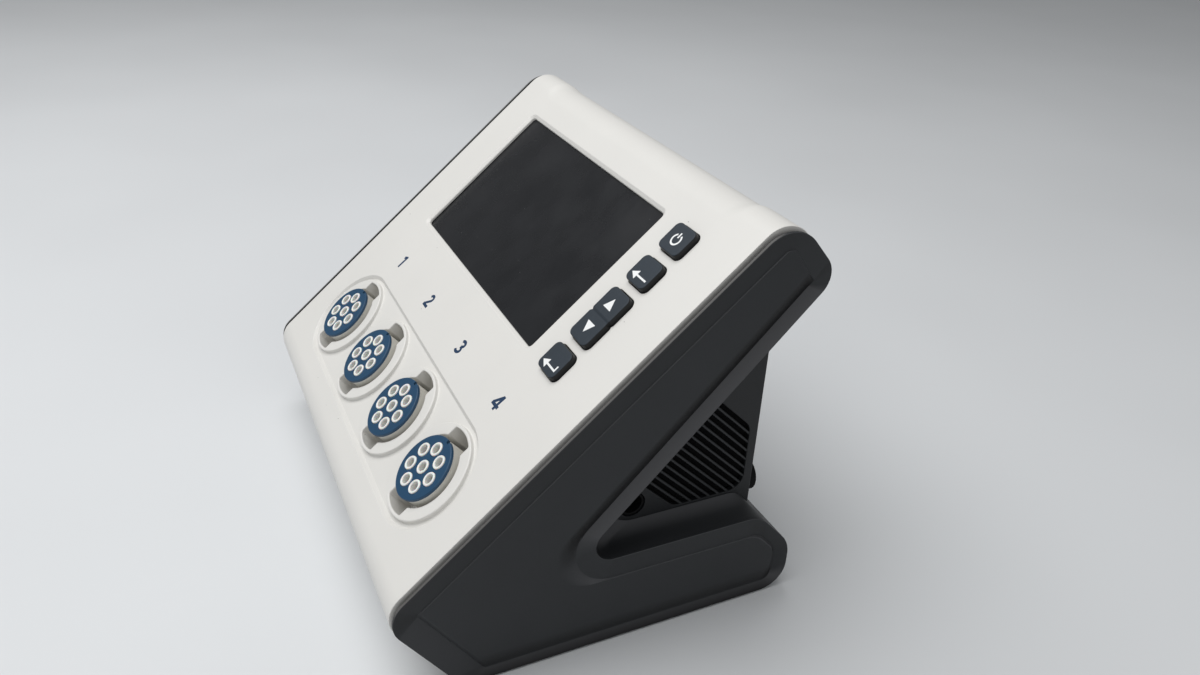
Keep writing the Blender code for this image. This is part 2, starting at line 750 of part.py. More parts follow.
def make_front_cover():
    """The white shell, with side lips, window, key openings, sunk tray, collars and wells."""
    stations = [
        (COVER_HALF_WIDTH, COVER_LIP, COVER_TOP_RADIUS),
        (COVER_HALF_WIDTH - COVER_WALL, COVER_LIP, COVER_TOP_RADIUS),
        (COVER_HALF_WIDTH - COVER_WALL - LIP_DRAFT, COVER_WALL, COVER_TOP_RADIUS),
    ]
    for inward_share, round_share in GRIP_BLEND_SHARES:
        x = GRIP_HALF_WIDTH + GRIP_BLEND * (1 - inward_share)
        radius = COVER_TOP_RADIUS + (GRIP_RADIUS - COVER_TOP_RADIUS) * round_share
        stations.append((x, COVER_WALL, radius))
    mirrored = [(-x, thickness, radius) for x, thickness, radius in stations]
    rings = [
        side_ring(x, cover_section(thickness, radius))
        for x, thickness, radius in mirrored + stations[::-1]
    ]
    cover = add_object("front_cover", loft("front_cover", rings), "off_white_abs")
    row = panel_matrix()
    backing_depth = COVER_WALL - GAP
    backing = tray_outline(TRAY_RADIUS + COVER_WALL)
    join(cover, [loft("backing", level_rings([(-TRAY_BACKING, backing), (-backing_depth, backing)]))], row)
    sunk = [
        (OVERRUN, tray_outline(TRAY_RADIUS)),
        (0.0, tray_outline(TRAY_RADIUS)),
        (-TRAY_DEPTH, tray_outline(TRAY_RADIUS - TRAY_DRAFT)),
    ]
    cut(cover, [loft("tray", level_rings(sunk))], row)
    well_bottom = -WELL_DEPTH - WELL_FLOOR
    for x in OUTLET_X:
        place = panel_matrix(x)
        join(cover, [cylinder("collar", COLLAR_RADIUS, well_bottom, COLLAR_HEIGHT, COLLAR_SIDES)], place)
        well = level_rings([(-WELL_DEPTH, well_outline()), (OVERRUN, well_outline())])
        hole = cylinder("hole", SLEEVE_RADIUS + GAP, well_bottom - OVERRUN, 0.0)
        cut(cover, [loft("well", well), hole], place)
    cut(cover, [loft("window", level_rings(window_levels()))], row)
    for name, s, height in KEYS:
        waist = ROCKER_WAIST if name == "up_down_rocker" else 0.0
        outline = key_outline(height, KEY_CLEARANCE, waist)
        opening = level_rings([(-OVERRUN, outline), (OVERRUN, outline)])
        cut(cover, [loft("opening", opening)], panel_matrix(KEY_X, s))
    post_low = keypad_top() + GAP
    for s in KEYPAD_POST_S:
        for offset in (-KEYPAD_POST_OFFSET, KEYPAD_POST_OFFSET):
            post = cylinder("post", KEYPAD_POST_RADIUS, post_low, -COVER_WALL / 2, SMALL_SIDES)
            join(cover, [post], panel_matrix(KEY_X + offset, s))
    return cover


def grille_corners():
    """The slatted field on the side wall, as a Y-Z outline below the arm."""
    low_start = underside_point(GRILLE_START, GRILLE_TOP_MARGIN)
    high_start = underside_point(GRILLE_START + GRILLE_LENGTH, GRILLE_TOP_MARGIN)
    down = Vector((math.sin(UNDERSIDE_SLOPE), -math.cos(UNDERSIDE_SLOPE)))
    low_end = low_start + down * ((low_start.y - GRILLE_BOTTOM_Z) / -down.y)
    high_end = high_start + down * ((GRILLE_REAR_Y - high_start.x) / down.x)
    return [
        (low_start.x, low_start.y, SMALLEST_RADIUS),
        (low_end.x, GRILLE_BOTTOM_Z, GRILLE_RADIUS),
        (GRILLE_REAR_Y, GRILLE_BOTTOM_Z, GRILLE_RADIUS),
        (GRILLE_REAR_Y, high_end.y, GRILLE_RADIUS),
        (high_start.x, high_start.y, SMALLEST_RADIUS),
    ]


def depth_of_field(along, outline):
    """How far below the underside the grille reaches, at one place along it."""
    reach = 0.0
    origin = underside_point(0.0, 0.0)
    direction = Vector((math.cos(UNDERSIDE_SLOPE), math.sin(UNDERSIDE_SLOPE)))
    below = Vector((direction.y, -direction.x))
    local = [((point - origin).dot(direction), (point - origin).dot(below)) for point in outline]
    for (start_a, start_b), (end_a, end_b) in zip(local, local[1:] + local[:1]):
        if (start_a - along) * (end_a - along) < 0:
            share = (along - start_a) / (end_a - start_a)
            reach = max(reach, start_b + share * (end_b - start_b))
    return reach


def make_rear_housing():
    """The middle body: side walls with grilles, rear wall, underside and end, open to panel and base."""
    core = core_corners()
    chin, _, _, _, _, _, arm_end, top = core
    chin_line_y = chin[0] + (chin[1] - SEAM_Z) / math.tan(CHIN_SLOPE)
    wall_top_z = underside_height(REAR_WALL_Y)
    outline = [
        (chin_line_y, SEAM_Z, SMALLEST_RADIUS),
        (REAR_WALL_Y, SEAM_Z, SMALLEST_RADIUS),
        (REAR_WALL_Y, wall_top_z, SMALLEST_RADIUS),
        arm_end,
        top,
        chin,
    ]
    hollow = inset(outline, [-OVERRUN, WALL, WALL, WALL, -OVERRUN, -OVERRUN])
    housing = add_object(
        "rear_housing",
        side_prism("rear_housing", rounded(outline), -MIDDLE_HALF_WIDTH, MIDDLE_HALF_WIDTH),
        "dark_grey_abs",
    )
    half = MIDDLE_HALF_WIDTH - WALL
    cut(housing, [side_prism("hollow", rounded(hollow), -half, half)])
    post_reach = SCREW_POST_TOP_Z - SCREW_BOSS_TOP_Z - GAP
    for x, y in screw_places():
        place = Matrix.Translation((x, y, SCREW_BOSS_TOP_Z + GAP))
        join(housing, [cylinder("post", SCREW_POST_RADIUS, 0.0, post_reach, SMALL_SIDES)], place)
        wall_x = math.copysign(half + WALL / 2, x)
        rib_low = (min(x, wall_x), y - WALL / 2, SEAM_Z)
        rib_high = (max(x, wall_x), y + WALL / 2, SCREW_POST_TOP_Z - WALL)
        join(housing, [box("rib", rib_low, rib_high)])
        pilot = cylinder("pilot", SCREW_RADIUS + GAP, -OVERRUN, SCREW_LENGTH, SCREW_SIDES)
        cut(housing, [pilot], place)
    field = rounded(grille_corners())
    pitch = GRILLE_LENGTH / SLOT_COUNT
    for index in range(SLOT_COUNT):
        low = GRILLE_START + pitch * (index + 0.5) - SLOT_WIDTH / 2
        high = low + SLOT_WIDTH
        slot = [
            underside_point(low, GRILLE_TOP_MARGIN),
            underside_point(low, depth_of_field(low, field)),
            underside_point(high, depth_of_field(high, field)),
            underside_point(high, GRILLE_TOP_MARGIN),
        ]
        cut(housing, [side_prism("slot", slot, -MIDDLE_HALF_WIDTH - OVERRUN, MIDDLE_HALF_WIDTH + OVERRUN)])
    port = cylinder("port", PORT_RADIUS, -OVERRUN, OVERRUN, PORT_SIDES)
    cut(housing, [port], along_x(MIDDLE_HALF_WIDTH, PORT_Y, PORT_Z))
    inlet = cylinder("inlet", INLET_NECK_RADIUS + GAP, -OVERRUN, OVERRUN, FOOT_SIDES)
    cut(housing, [inlet], along_y(INLET_X, REAR_WALL_Y, INLET_Z))
    return housing


def underside_height(y):
    """Height of the arm's underside line at one y."""
    corner = body_corners()[5]
    return corner[1] + (y - corner[0]) * math.tan(UNDERSIDE_SLOPE)


def screw_places():
    return [(side * SCREW_X, y) for side in (-1, 1) for y in (FRONT_FOOT_Y, REAR_FOOT_Y)]


def foot_places():
    return [(side * FOOT_X, y) for side in (-1, 1) for y in (FRONT_FOOT_Y, REAR_FOOT_Y)]


def make_base_tray():
    """The tub under the works, with a hump behind the rear wall, screw bosses and foot pockets."""
    core = core_corners()
    chin, front_foot, rear_foot, nose, _, _, _, _ = core
    rim_z = SEAM_Z - GAP
    behind_wall = REAR_WALL_Y + GAP
    front_y = chin[0] + (chin[1] - rim_z) / math.tan(CHIN_SLOPE)
    hump_z = BASE_NOSE_Z + (BASE_REAR_Y - behind_wall) * math.tan(BASE_SLOPE)
    outline = [
        (front_y, rim_z, SMALLEST_RADIUS),
        front_foot,
        rear_foot,
        nose,
        (behind_wall, hump_z, SMALLEST_RADIUS),
        (behind_wall, rim_z, SMALLEST_RADIUS),
    ]
    inner = inset(outline, [WALL] * len(outline))
    ceiling_z = rim_z - WALL
    wall_inner = behind_wall - WALL
    slope_y = inner[4][0] + (inner[4][1] - ceiling_z) / math.tan(BASE_SLOPE)
    above = SEAM_Z + OVERRUN
    front_above = inner[0][0] - (above - inner[0][1]) / math.tan(CHIN_SLOPE)
    hollow = [
        (front_above, above, SMALLEST_RADIUS),
        inner[1],
        inner[2],
        inner[3],
        (slope_y, ceiling_z, SMALLEST_RADIUS),
        (wall_inner, ceiling_z, SMALLEST_RADIUS),
        (wall_inner, above, SMALLEST_RADIUS),
    ]
    tray = add_object(
        "base_tray",
        side_prism("base_tray", rounded(outline), -MIDDLE_HALF_WIDTH, MIDDLE_HALF_WIDTH),
        "dark_grey_abs",
    )
    half = MIDDLE_HALF_WIDTH - WALL
    cut(tray, [side_prism("hollow", rounded(hollow), -half, half)])
    for x, y in screw_places():
        place = Matrix.Translation((x, y, 0.0))
        boss_low = SHELL_BOTTOM_Z + WALL / 2
        join(tray, [cylinder("boss", SCREW_BOSS_RADIUS, boss_low, SCREW_BOSS_TOP_Z, SMALL_SIDES)], place)
        head_top = SHELL_BOTTOM_Z + SCREW_HEAD_SUNK + SCREW_HEAD_HEIGHT + GAP
        sink = cylinder("sink", SCREW_HEAD_RADIUS + GAP, -OVERRUN, head_top, SMALL_SIDES)
        hole = cylinder("hole", SCREW_RADIUS + GAP, -OVERRUN, SCREW_BOSS_TOP_Z + OVERRUN, SCREW_SIDES)
        cut(tray, [sink, hole], place)
    for x, y in foot_places():
        pocket = cylinder("pocket", FOOT_RADIUS + GAP, -OVERRUN, FOOT_HEIGHT + GAP, FOOT_SIDES)
        cut(tray, [pocket], Matrix.Translation((x, y, 0.0)))
    return tray


# Display and keys


def make_display():
    centre = (WINDOW_X, WINDOW_S)
    lens_top = -COVER_WALL - GAP
    lens_low = lens_top - LENS_THICKNESS
    lens = rectangle(WINDOW_WIDTH + 2 * LENS_MARGIN, WINDOW_HEIGHT + 2 * LENS_MARGIN, WINDOW_RADIUS, centre)
    row = panel_matrix()
    glass = loft("display_lens", level_rings([(lens_low, lens), (lens_top, lens)]))
    add_object("display_lens", glass, "lens_glass", row)
    module_top = lens_low - GAP
    module_low = module_top - MODULE_THICKNESS
    module = loft("display_module", level_rings([(module_low, lens), (module_top, lens)]))
    add_object("display_module", module, "steel", row)
    make_display_frame(centre, module_low - GAP)
    make_main_board(centre)


def make_display_frame(centre, top):
    """A sheet bracket behind the display, with a turned-up lip and four posts for the board."""
    inner_width = WINDOW_WIDTH + 2 * LENS_MARGIN + 2 * GAP
    inner_height = WINDOW_HEIGHT + 2 * LENS_MARGIN + 2 * GAP
    outer = rectangle(inner_width + 2 * FRAME_MARGIN, inner_height + 2 * FRAME_MARGIN, KEY_RADIUS, centre)
    inner = rectangle(inner_width, inner_height, WINDOW_RADIUS, centre)
    rim = top + FRAME_LIP
    levels = [(top - FRAME_THICKNESS, outer), (rim, outer), (rim, inner), (top, inner)]
    sheet = loft("display_frame", level_rings(levels))
    frame = add_object("display_frame", sheet, "steel", panel_matrix())
    board_top = -BOARD_BEHIND
    for across in (-1, 1):
        for up in (-1, 1):
            place = (
                centre[0] + across * (WINDOW_WIDTH / 2 - POST_INSET),
                centre[1] + up * (WINDOW_HEIGHT / 2 - POST_INSET),
            )
            post_top = top - FRAME_THICKNESS / 2
            join(frame, [cylinder("post", POST_RADIUS, board_top + GAP, post_top, SCREW_SIDES, place)])
    return frame


def make_main_board(centre):
    low = -BOARD_BEHIND - BOARD_THICKNESS
    outline = rectangle(WINDOW_WIDTH, WINDOW_HEIGHT, WINDOW_RADIUS, centre)
    board = loft("main_board", level_rings([(low, outline), (-BOARD_BEHIND, outline)]))
    item = add_object("main_board", board, "circuit_board", panel_matrix())
    chip_low = low - CHIP_HEIGHT
    for across_share, up_share, wide_share, tall_share in CHIP_SHARES:
        place = (centre[0] + across_share * WINDOW_WIDTH, centre[1] + up_share * WINDOW_HEIGHT)
        chip = rectangle(wide_share * WINDOW_WIDTH, tall_share * WINDOW_HEIGHT, SMALLEST_RADIUS, place, 1)
        levels = [(chip_low, chip), (low + BOARD_THICKNESS / 2, chip)]
        join(item, [loft("chip", level_rings(levels))])
    return item


def key_levels(height, waist):
    """Heights about the flange's middle and outlines of a key, from its underside to its domed top."""
    body = key_outline(height, 0.0, waist)
    dome = key_outline(height, -KEY_DOME_INSET, waist)
    top = KEY_PROUD - KEY_SEAT
    return [(-KEY_FLANGE / 2, body), (top - KEY_DOME, body), (top, dome)]


def make_keys():
    """Each key's origin is the middle of its flange, which is the rocker's pivot."""
    top = KEY_PROUD - KEY_SEAT
    for name, s, height in KEYS:
        waist = ROCKER_WAIST if name == "up_down_rocker" else 0.0
        body = loft(name, level_rings(key_levels(height, waist)))
        key = add_object(name, body, "key_rubber", panel_matrix(KEY_X, s, KEY_SEAT))
        if waist:
            wide = KEY_WIDTH + 2 * (KEY_CLEARANCE + KEY_FLANGE_WIDTH)
            flange = rectangle(wide, 2 * ROCKER_TAB_HALF, SMALLEST_RADIUS)
            half = ROCKER_WAIST_HALF
            groove = [(-half, top + OVERRUN), (0.0, top - ROCKER_GROOVE), (half, top + OVERRUN)]
            cut(key, [side_prism("groove", groove, -KEY_WIDTH, KEY_WIDTH)])
        else:
            flange = key_outline(height, KEY_CLEARANCE + KEY_FLANGE_WIDTH)
        levels = [(-KEY_FLANGE / 2, flange), (KEY_FLANGE / 2, flange)]
        join(key, [loft("flange", level_rings(levels))])


def keypad_top():
    """Height of the keypad board's face below the panel's surface."""
    return KEY_SEAT - KEY_FLANGE / 2 - KEY_TRAVEL - SWITCH_CLEARANCE - SWITCH_HEIGHT


def make_keypad_board():
    top = keypad_top()
    wide = 2 * (KEYPAD_POST_OFFSET + KEYPAD_POST_RADIUS) + KEYPAD_MARGIN
    low_s = ENTER_S - KEY_HEIGHT / 2 - KEYPAD_MARGIN
    high_s = POWER_S + KEY_HEIGHT / 2 + KEYPAD_MARGIN
    outline = rectangle(wide, high_s - low_s, KEY_RADIUS, (0.0, (low_s + high_s) / 2))
    board = loft("keypad_board", level_rings([(top - BOARD_THICKNESS, outline), (top, outline)]))
    item = add_object("keypad_board", board, "circuit_board", panel_matrix(KEY_X))
    rocker_reach = ROCKER_HEIGHT / 2 - KEY_RADIUS - SWITCH_SIDE / 2
    for s in (POWER_S, BACK_S, ROCKER_S + rocker_reach, ROCKER_S - rocker_reach, ENTER_S):
        outline = rectangle(SWITCH_SIDE, SWITCH_SIDE, SMALLEST_RADIUS, (0.0, s), 1)
        levels = [(top - BOARD_THICKNESS / 2, outline), (top + SWITCH_HEIGHT, outline)]
        join(item, [loft("switch", level_rings(levels))])
    return item


# Outlets


def tube_places():
    turns = [2 * math.pi * index / TUBES_ON_RING for index in range(TUBES_ON_RING)]
    ring = [(TUBE_RING_RADIUS * math.cos(turn), TUBE_RING_RADIUS * math.sin(turn)) for turn in turns]
    return [(0.0, 0.0)] + ring


def round_each_tube(radius, low, high, sides):
    """A cylinder at the place of each tube."""
    return [cylinder("round", radius, low, high, sides, place) for place in tube_places()]


def make_outlet_cap():
    low = SLEEVE_TOP + GAP
    cap = add_object("outlet_cap_1", cylinder("outlet_cap_1", CAP_RADIUS, low, CAP_TOP), "blue_plastic")
    half = KEY_NOTCH_WIDTH / 2
    notch_low = (-half, CAP_RADIUS - KEY_NOTCH_DEPTH, -OVERRUN)
    notch_high = (half, CAP_RADIUS + OVERRUN, OVERRUN)
    cut(cap, round_each_tube(TUBE_RADIUS + GAP, -OVERRUN, OVERRUN, TUBE_SIDES))
    return cut(cap, [box("notch", notch_low, notch_high)])


def turned_object(name, profile, kind, matrix=None, sides=TURN_SIDES, closed=False):
    return add_object(name, turned(name, profile, sides, closed), kind, matrix)


def make_outlet_sleeve():
    flange_top = -WELL_DEPTH - WELL_FLOOR - GAP
    profile = [
        (SLEEVE_BORE, -SLEEVE_TAIL),
        (SLEEVE_FLANGE_RADIUS, -SLEEVE_TAIL),
        (SLEEVE_FLANGE_RADIUS, flange_top),
        (SLEEVE_RADIUS, flange_top),
        (SLEEVE_RADIUS, SLEEVE_TOP),
        (SLEEVE_BORE, SLEEVE_TOP),
    ]
    return turned_object("outlet_sleeve_1", profile, "grey_plastic", closed=True)


def make_outlet_tubes():
    low = -SLEEVE_TAIL
    plate = cylinder("outlet_tubes_1", SLEEVE_BORE - GAP, low, low + TUBE_PLATE)
    item = add_object("outlet_tubes_1", plate, "white_plastic")
    plate_middle = low + TUBE_PLATE / 2
    join(item, round_each_tube(TUBE_RADIUS, plate_middle, TUBE_TOP, TUBE_SIDES))
    return cut(item, round_each_tube(TUBE_BORE, low - OVERRUN, OVERRUN, BORE_SIDES))


def make_outlet_hose():
    top = -SLEEVE_TAIL - GAP
    low = -MANIFOLD_BEHIND + GAP
    profile = [(HOSE_BORE, low), (HOSE_RADIUS, low), (HOSE_RADIUS, top), (HOSE_BORE, top)]
    return turned_object("outlet_hose_1", profile, "hose_silicone", sides=SMALL_SIDES, closed=True)


def make_outlets():
    """Four like outlets, each of a cap, a sleeve, a tube moulding and a hose."""
    makers = (make_outlet_cap, make_outlet_sleeve, make_outlet_tubes, make_outlet_hose)
    for item in [maker() for maker in makers]:
        item.matrix_world = panel_matrix(OUTLET_X[0])
        stem = item.name[:-1]
        kind = item.data.materials[0].name.replace(item.name + "_", "")
        for index, x in enumerate(OUTLET_X[1:], start=2):
            name = f"{stem}{index}"
            add_object(name, item.data.copy(), kind, panel_matrix(x))


# Works


def make_valve_manifold():
    """A block on the base floor whose slanted head meets the four hoses."""
    head = ROW_ORIGIN - OUT_OF_PANEL * MANIFOLD_BEHIND
    floor = BASE_FLOOR_Z + GAP

    def head_z(y):
        return head.y + (y - head.x) * math.tan(TILT)

    corners = [
        (VALVE_FRONT_Y, floor, SMALLEST_RADIUS),
        (VALVE_REAR_Y, floor, SMALLEST_RADIUS),
        (VALVE_REAR_Y, head_z(VALVE_REAR_Y), SMALLEST_RADIUS),
        (VALVE_FRONT_Y, head_z(VALVE_FRONT_Y), SMALLEST_RADIUS),
    ]
    block = side_prism("valve_manifold", rounded(corners, 1), -VALVE_HALF_WIDTH, VALVE_HALF_WIDTH)
    return add_object("valve_manifold", block, "grey_plastic")


def make_pump():
    floor = BASE_FLOOR_Z + GAP
    centre = (PUMP_X + PUMP_WIDTH / 2, PUMP_Y + PUMP_DEPTH / 2)
    wide = rectangle(PUMP_WIDTH, PUMP_DEPTH, PUMP_CHAMFER, centre)
    narrow = rectangle(PUMP_WIDTH - 2 * PUMP_CHAMFER, PUMP_DEPTH - 2 * PUMP_CHAMFER, PUMP_CHAMFER, centre)
    levels = [(floor, wide), (floor + PUMP_HEIGHT - PUMP_CHAMFER, wide), (floor + PUMP_HEIGHT, narrow)]
    add_object("compressor", loft("compressor", level_rings(levels)), "cast_metal")
    shaft = along_x(MOTOR_X, centre[1], MOTOR_SHAFT_Z)
    can = cylinder("compressor_motor", MOTOR_RADIUS, 0.0, MOTOR_LENGTH)
    motor = add_object("compressor_motor", can, "steel", shaft)
    foot = box(
        "foot",
        (MOTOR_X, centre[1] - MOTOR_FOOT_HALF_WIDTH, floor),
        (MOTOR_X + MOTOR_LENGTH, centre[1] + MOTOR_FOOT_HALF_WIDTH, MOTOR_SHAFT_Z),
    )
    join(motor, [foot], Matrix.Identity(4))
    hose_start = VALVE_REAR_Y + GAP
    hose_length = PUMP_Y - GAP - hose_start
    bore = SUPPLY_RADIUS - SUPPLY_WALL
    profile = [(bore, 0.0), (SUPPLY_RADIUS, 0.0), (SUPPLY_RADIUS, hose_length), (bore, hose_length)]
    place = along_y(PUMP_X + SUPPLY_FROM_PUMP_SIDE, hose_start, SUPPLY_Z)
    turned_object("supply_hose", profile, "hose_silicone", place, sides=SMALL_SIDES, closed=True)


def make_power_supply():
    floor = BASE_FLOOR_Z + GAP
    centre = (PSU_X + PSU_WIDTH / 2, PSU_Y + PSU_DEPTH / 2)
    outline = rectangle(PSU_WIDTH, PSU_DEPTH, PSU_CHAMFER, centre)
    top = rectangle(PSU_WIDTH - 2 * PSU_CHAMFER, PSU_DEPTH - 2 * PSU_CHAMFER, PSU_CHAMFER, centre)
    levels = [(floor, outline), (floor + PSU_HEIGHT - PSU_CHAMFER, outline), (floor + PSU_HEIGHT, top)]
    return add_object("power_supply", loft("power_supply", level_rings(levels)), "steel")


def filter_x():
    return MIDDLE_HALF_WIDTH - WALL - GAP


def make_filters():
    outline = rounded(grille_corners(), 3)
    outer = filter_x()
    inner = outer - FILTER_THICKNESS
    add_object("filter_right", side_prism("filter_right", outline, inner, outer), "filter_foam")
    add_object("filter_left", side_prism("filter_left", outline, -outer, -inner), "filter_foam")


def make_fan():
    """A square fan behind the right grille, its axis along X."""
    outer_x = filter_x() - FILTER_THICKNESS - GAP
    place = along_x(outer_x - FAN_DEPTH, FAN_Y, FAN_Z)
    square = rectangle(FAN_SIDE, FAN_SIDE, FAN_CORNER_RADIUS)
    block = loft("fan_frame", level_rings([(0.0, square), (FAN_DEPTH, square)]))
    frame = add_object("fan_frame", block, "black_plastic", place)
    cut(frame, [cylinder("bore", FAN_BORE, -OVERRUN, FAN_DEPTH + OVERRUN)])
    half = FAN_STRUT_HALF_WIDTH
    reach = FAN_BORE + (FAN_SIDE / 2 - FAN_BORE) / 2
    struts = [
        box("strut", (-reach, -half, 0.0), (reach, half, FAN_PLATE)),
        box("strut", (-half, -reach, 0.0), (half, reach, FAN_PLATE)),
        cylinder("hub", FAN_HUB_RADIUS, 0.0, FAN_PLATE, SMALL_SIDES),
    ]
    join(frame, [struts[2]] + struts[:2])
    cut(frame, [cylinder("bearing", FAN_SHAFT_RADIUS + GAP, -OVERRUN, OVERRUN, SCREW_SIDES)])
    make_fan_rotor(place)


def make_fan_rotor(place):
    low = FAN_PLATE + GAP
    high = FAN_DEPTH - GAP
    hub = cylinder("fan_rotor", FAN_HUB_RADIUS, low, high, SMALL_SIDES)
    rotor = add_object("fan_rotor", hub, "black_plastic", place)
    join(rotor, [cylinder("shaft", FAN_SHAFT_RADIUS, 0.0, (low + high) / 2, SCREW_SIDES)])
    span = FAN_BORE - FAN_BLADE_CLEAR
    height = high - low - 2 * FAN_BLADE_CLEAR
    chord = height / math.sin(FAN_BLADE_PITCH) - FAN_BLADE_THICKNESS / math.tan(FAN_BLADE_PITCH)
    for index in range(FAN_BLADES):
        turn = 2 * math.pi * index / FAN_BLADES
        half = FAN_BLADE_THICKNESS / 2
        blade = box("blade", (FAN_HUB_RADIUS / 2, -chord / 2, -half), (span - half, chord / 2, half))
        middle = Matrix.Translation((0.0, 0.0, (low + high) / 2))
        tilt = Matrix.Rotation(FAN_BLADE_PITCH, 4, "X")
        join(rotor, [trimmed_blade(blade, span)], place @ Matrix.Rotation(turn, 4, "Z") @ middle @ tilt)
    return rotor


def trimmed_blade(mesh, span):
    """Draw the blade's outer corners in, so that its swept circle clears the frame."""
    for vertex in mesh.vertices:
        if vertex.co.x > span / 2:
            vertex.co.x = math.sqrt(span ** 2 - vertex.co.y ** 2)
    return mesh


# Small pieces


def make_service_port():
    radius = PORT_RADIUS - GAP
    bore = radius - PORT_WALL
    face = -PORT_SUNK
    back = face - PORT_LENGTH
    floor = back + PORT_WALL
    profile = [(0.0, back), (radius, back), (radius, face), (bore, face), (bore, floor), (0.0, floor)]
    place = along_x(MIDDLE_HALF_WIDTH, PORT_Y, PORT_Z)
    return turned_object("service_port", profile, "black_plastic", place, sides=PORT_SIDES)


def make_power_inlet():
    """A round socket boss with a neck through the rear wall and a centre pin."""
    back = -WALL - INLET_TAIL
    floor = back + INLET_FLOOR
    profile = [
        (0.0, back),
        (INLET_NECK_RADIUS, back),
        (INLET_NECK_RADIUS, GAP),
        (INLET_RADIUS, GAP),
        (INLET_RADIUS, INLET_PROUD - RIM_ROUND),
        (INLET_RADIUS - RIM_ROUND, INLET_PROUD),
        (INLET_BORE, INLET_PROUD),
        (INLET_BORE, floor),
        (INLET_PIN_RADIUS, floor),
        (INLET_PIN_RADIUS, INLET_PROUD - INLET_PIN_SHORT),
        (0.0, INLET_PROUD - INLET_PIN_SHORT),
    ]
    place = along_y(INLET_X, REAR_WALL_Y, INLET_Z)
    return turned_object("power_inlet", profile, "black_plastic", place, sides=FOOT_SIDES)


def make_feet():
    profile = [
        (0.0, 0.0),
        (FOOT_RADIUS - FOOT_CHAMFER, 0.0),
        (FOOT_RADIUS, FOOT_CHAMFER),
        (FOOT_RADIUS, FOOT_HEIGHT),
        (0.0, FOOT_HEIGHT),
    ]
    for index, (x, y) in enumerate(foot_places(), start=1):
        place = Matrix.Translation((x, y, 0.0))
        turned_object(f"foot_{index}", profile, "foot_rubber", place, sides=FOOT_SIDES)


def make_screws():
    head_low = SHELL_BOTTOM_Z + SCREW_HEAD_SUNK
    head_top = head_low + SCREW_HEAD_HEIGHT
    tip = head_top + SCREW_LENGTH
    profile = [(0.0, head_low), (SCREW_HEAD_RADIUS, head_low), (SCREW_HEAD_RADIUS, head_top)]
    profile += [(SCREW_RADIUS, head_top), (SCREW_RADIUS, tip), (0.0, tip)]
    for index, (x, y) in enumerate(screw_places(), start=1):
        place = Matrix.Translation((x, y, 0.0))
        turned_object(f"base_screw_{index}", profile, "steel", place, sides=SCREW_SIDES)


def main():
    clear_scene()
    make_cheek("right_cheek", 1)
    make_cheek("left_cheek", -1)
    make_front_cover()
    make_rear_housing()
    make_base_tray()
    make_display()
    make_keys()
    make_keypad_board()
    make_outlets()
    make_valve_manifold()
    make_pump()
    make_power_supply()
    make_filters()
    make_fan()
    make_service_port()
    make_power_inlet()
    make_feet()
    make_screws()
    for item in bpy.data.objects:
        item.data.shade_smooth()
        item.data.set_sharp_from_angle(angle=SMOOTH_BELOW)


main()
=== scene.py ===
"""Looks of the compression therapy pump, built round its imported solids.

Metres, +Z up, front towards -Y. The side outline is drawn in the Y-Z plane. The panel has axes of its
own: x across, s up the slope from the row of outlets, n out of the panel's surface.
"""
import math

import bmesh
import bpy
from mathutils import Matrix, Vector


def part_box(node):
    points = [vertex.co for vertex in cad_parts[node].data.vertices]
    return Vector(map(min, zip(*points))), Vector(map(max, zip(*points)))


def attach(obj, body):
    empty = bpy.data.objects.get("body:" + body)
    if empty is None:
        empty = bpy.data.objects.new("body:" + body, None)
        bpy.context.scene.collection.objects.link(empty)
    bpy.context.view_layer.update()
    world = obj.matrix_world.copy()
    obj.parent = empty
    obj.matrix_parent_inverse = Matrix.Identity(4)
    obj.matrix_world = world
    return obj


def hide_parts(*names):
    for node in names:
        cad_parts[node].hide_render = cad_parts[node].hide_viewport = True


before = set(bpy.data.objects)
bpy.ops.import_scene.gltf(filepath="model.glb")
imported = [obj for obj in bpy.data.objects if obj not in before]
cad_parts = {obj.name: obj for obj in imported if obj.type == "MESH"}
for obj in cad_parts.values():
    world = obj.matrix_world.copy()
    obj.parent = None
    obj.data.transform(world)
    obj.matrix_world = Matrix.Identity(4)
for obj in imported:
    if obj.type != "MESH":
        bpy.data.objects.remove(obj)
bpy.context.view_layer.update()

# Camera
CAMERA_PLACE = (0.4163, -0.1530, 0.3366)
CAMERA_TURN_DEGREES = (61.254, -2.470, 64.912)
CAMERA_LENS = 29.13
SENSOR_WIDTH = 36.0

# Side outline
TILT = math.radians(40.9)
CHIN_Y = -0.1015
CHIN_Z = 0.0476
CHIN_SLOPE = math.radians(55.4)
PANEL_LENGTH = 0.2318
ARM_END_DEPTH = 0.0388
UNDERSIDE_SLOPE = math.radians(45.8)
ARM_TOP_Z = 0.0485
SHELL_BOTTOM_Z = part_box("base_tray")[0].z
BASE_REAR_Y = 0.0977
BASE_NOSE_Z = 0.0265
BASE_SLOPE = math.radians(47.8)
CHIN_RADIUS = 0.0137
FRONT_FOOT_RADIUS = 0.0080
REAR_FOOT_RADIUS = 0.0133
BASE_NOSE_RADIUS = 0.0190
BASE_TOP_RADIUS = 0.0150
GAP_NOSE_RADIUS = 0.0088
ARM_END_RADIUS = 0.0114
TOP_RADIUS = 0.0160
SETBACK_TOP_RADIUS = 0.0130
SMALLEST_RADIUS = 0.0005

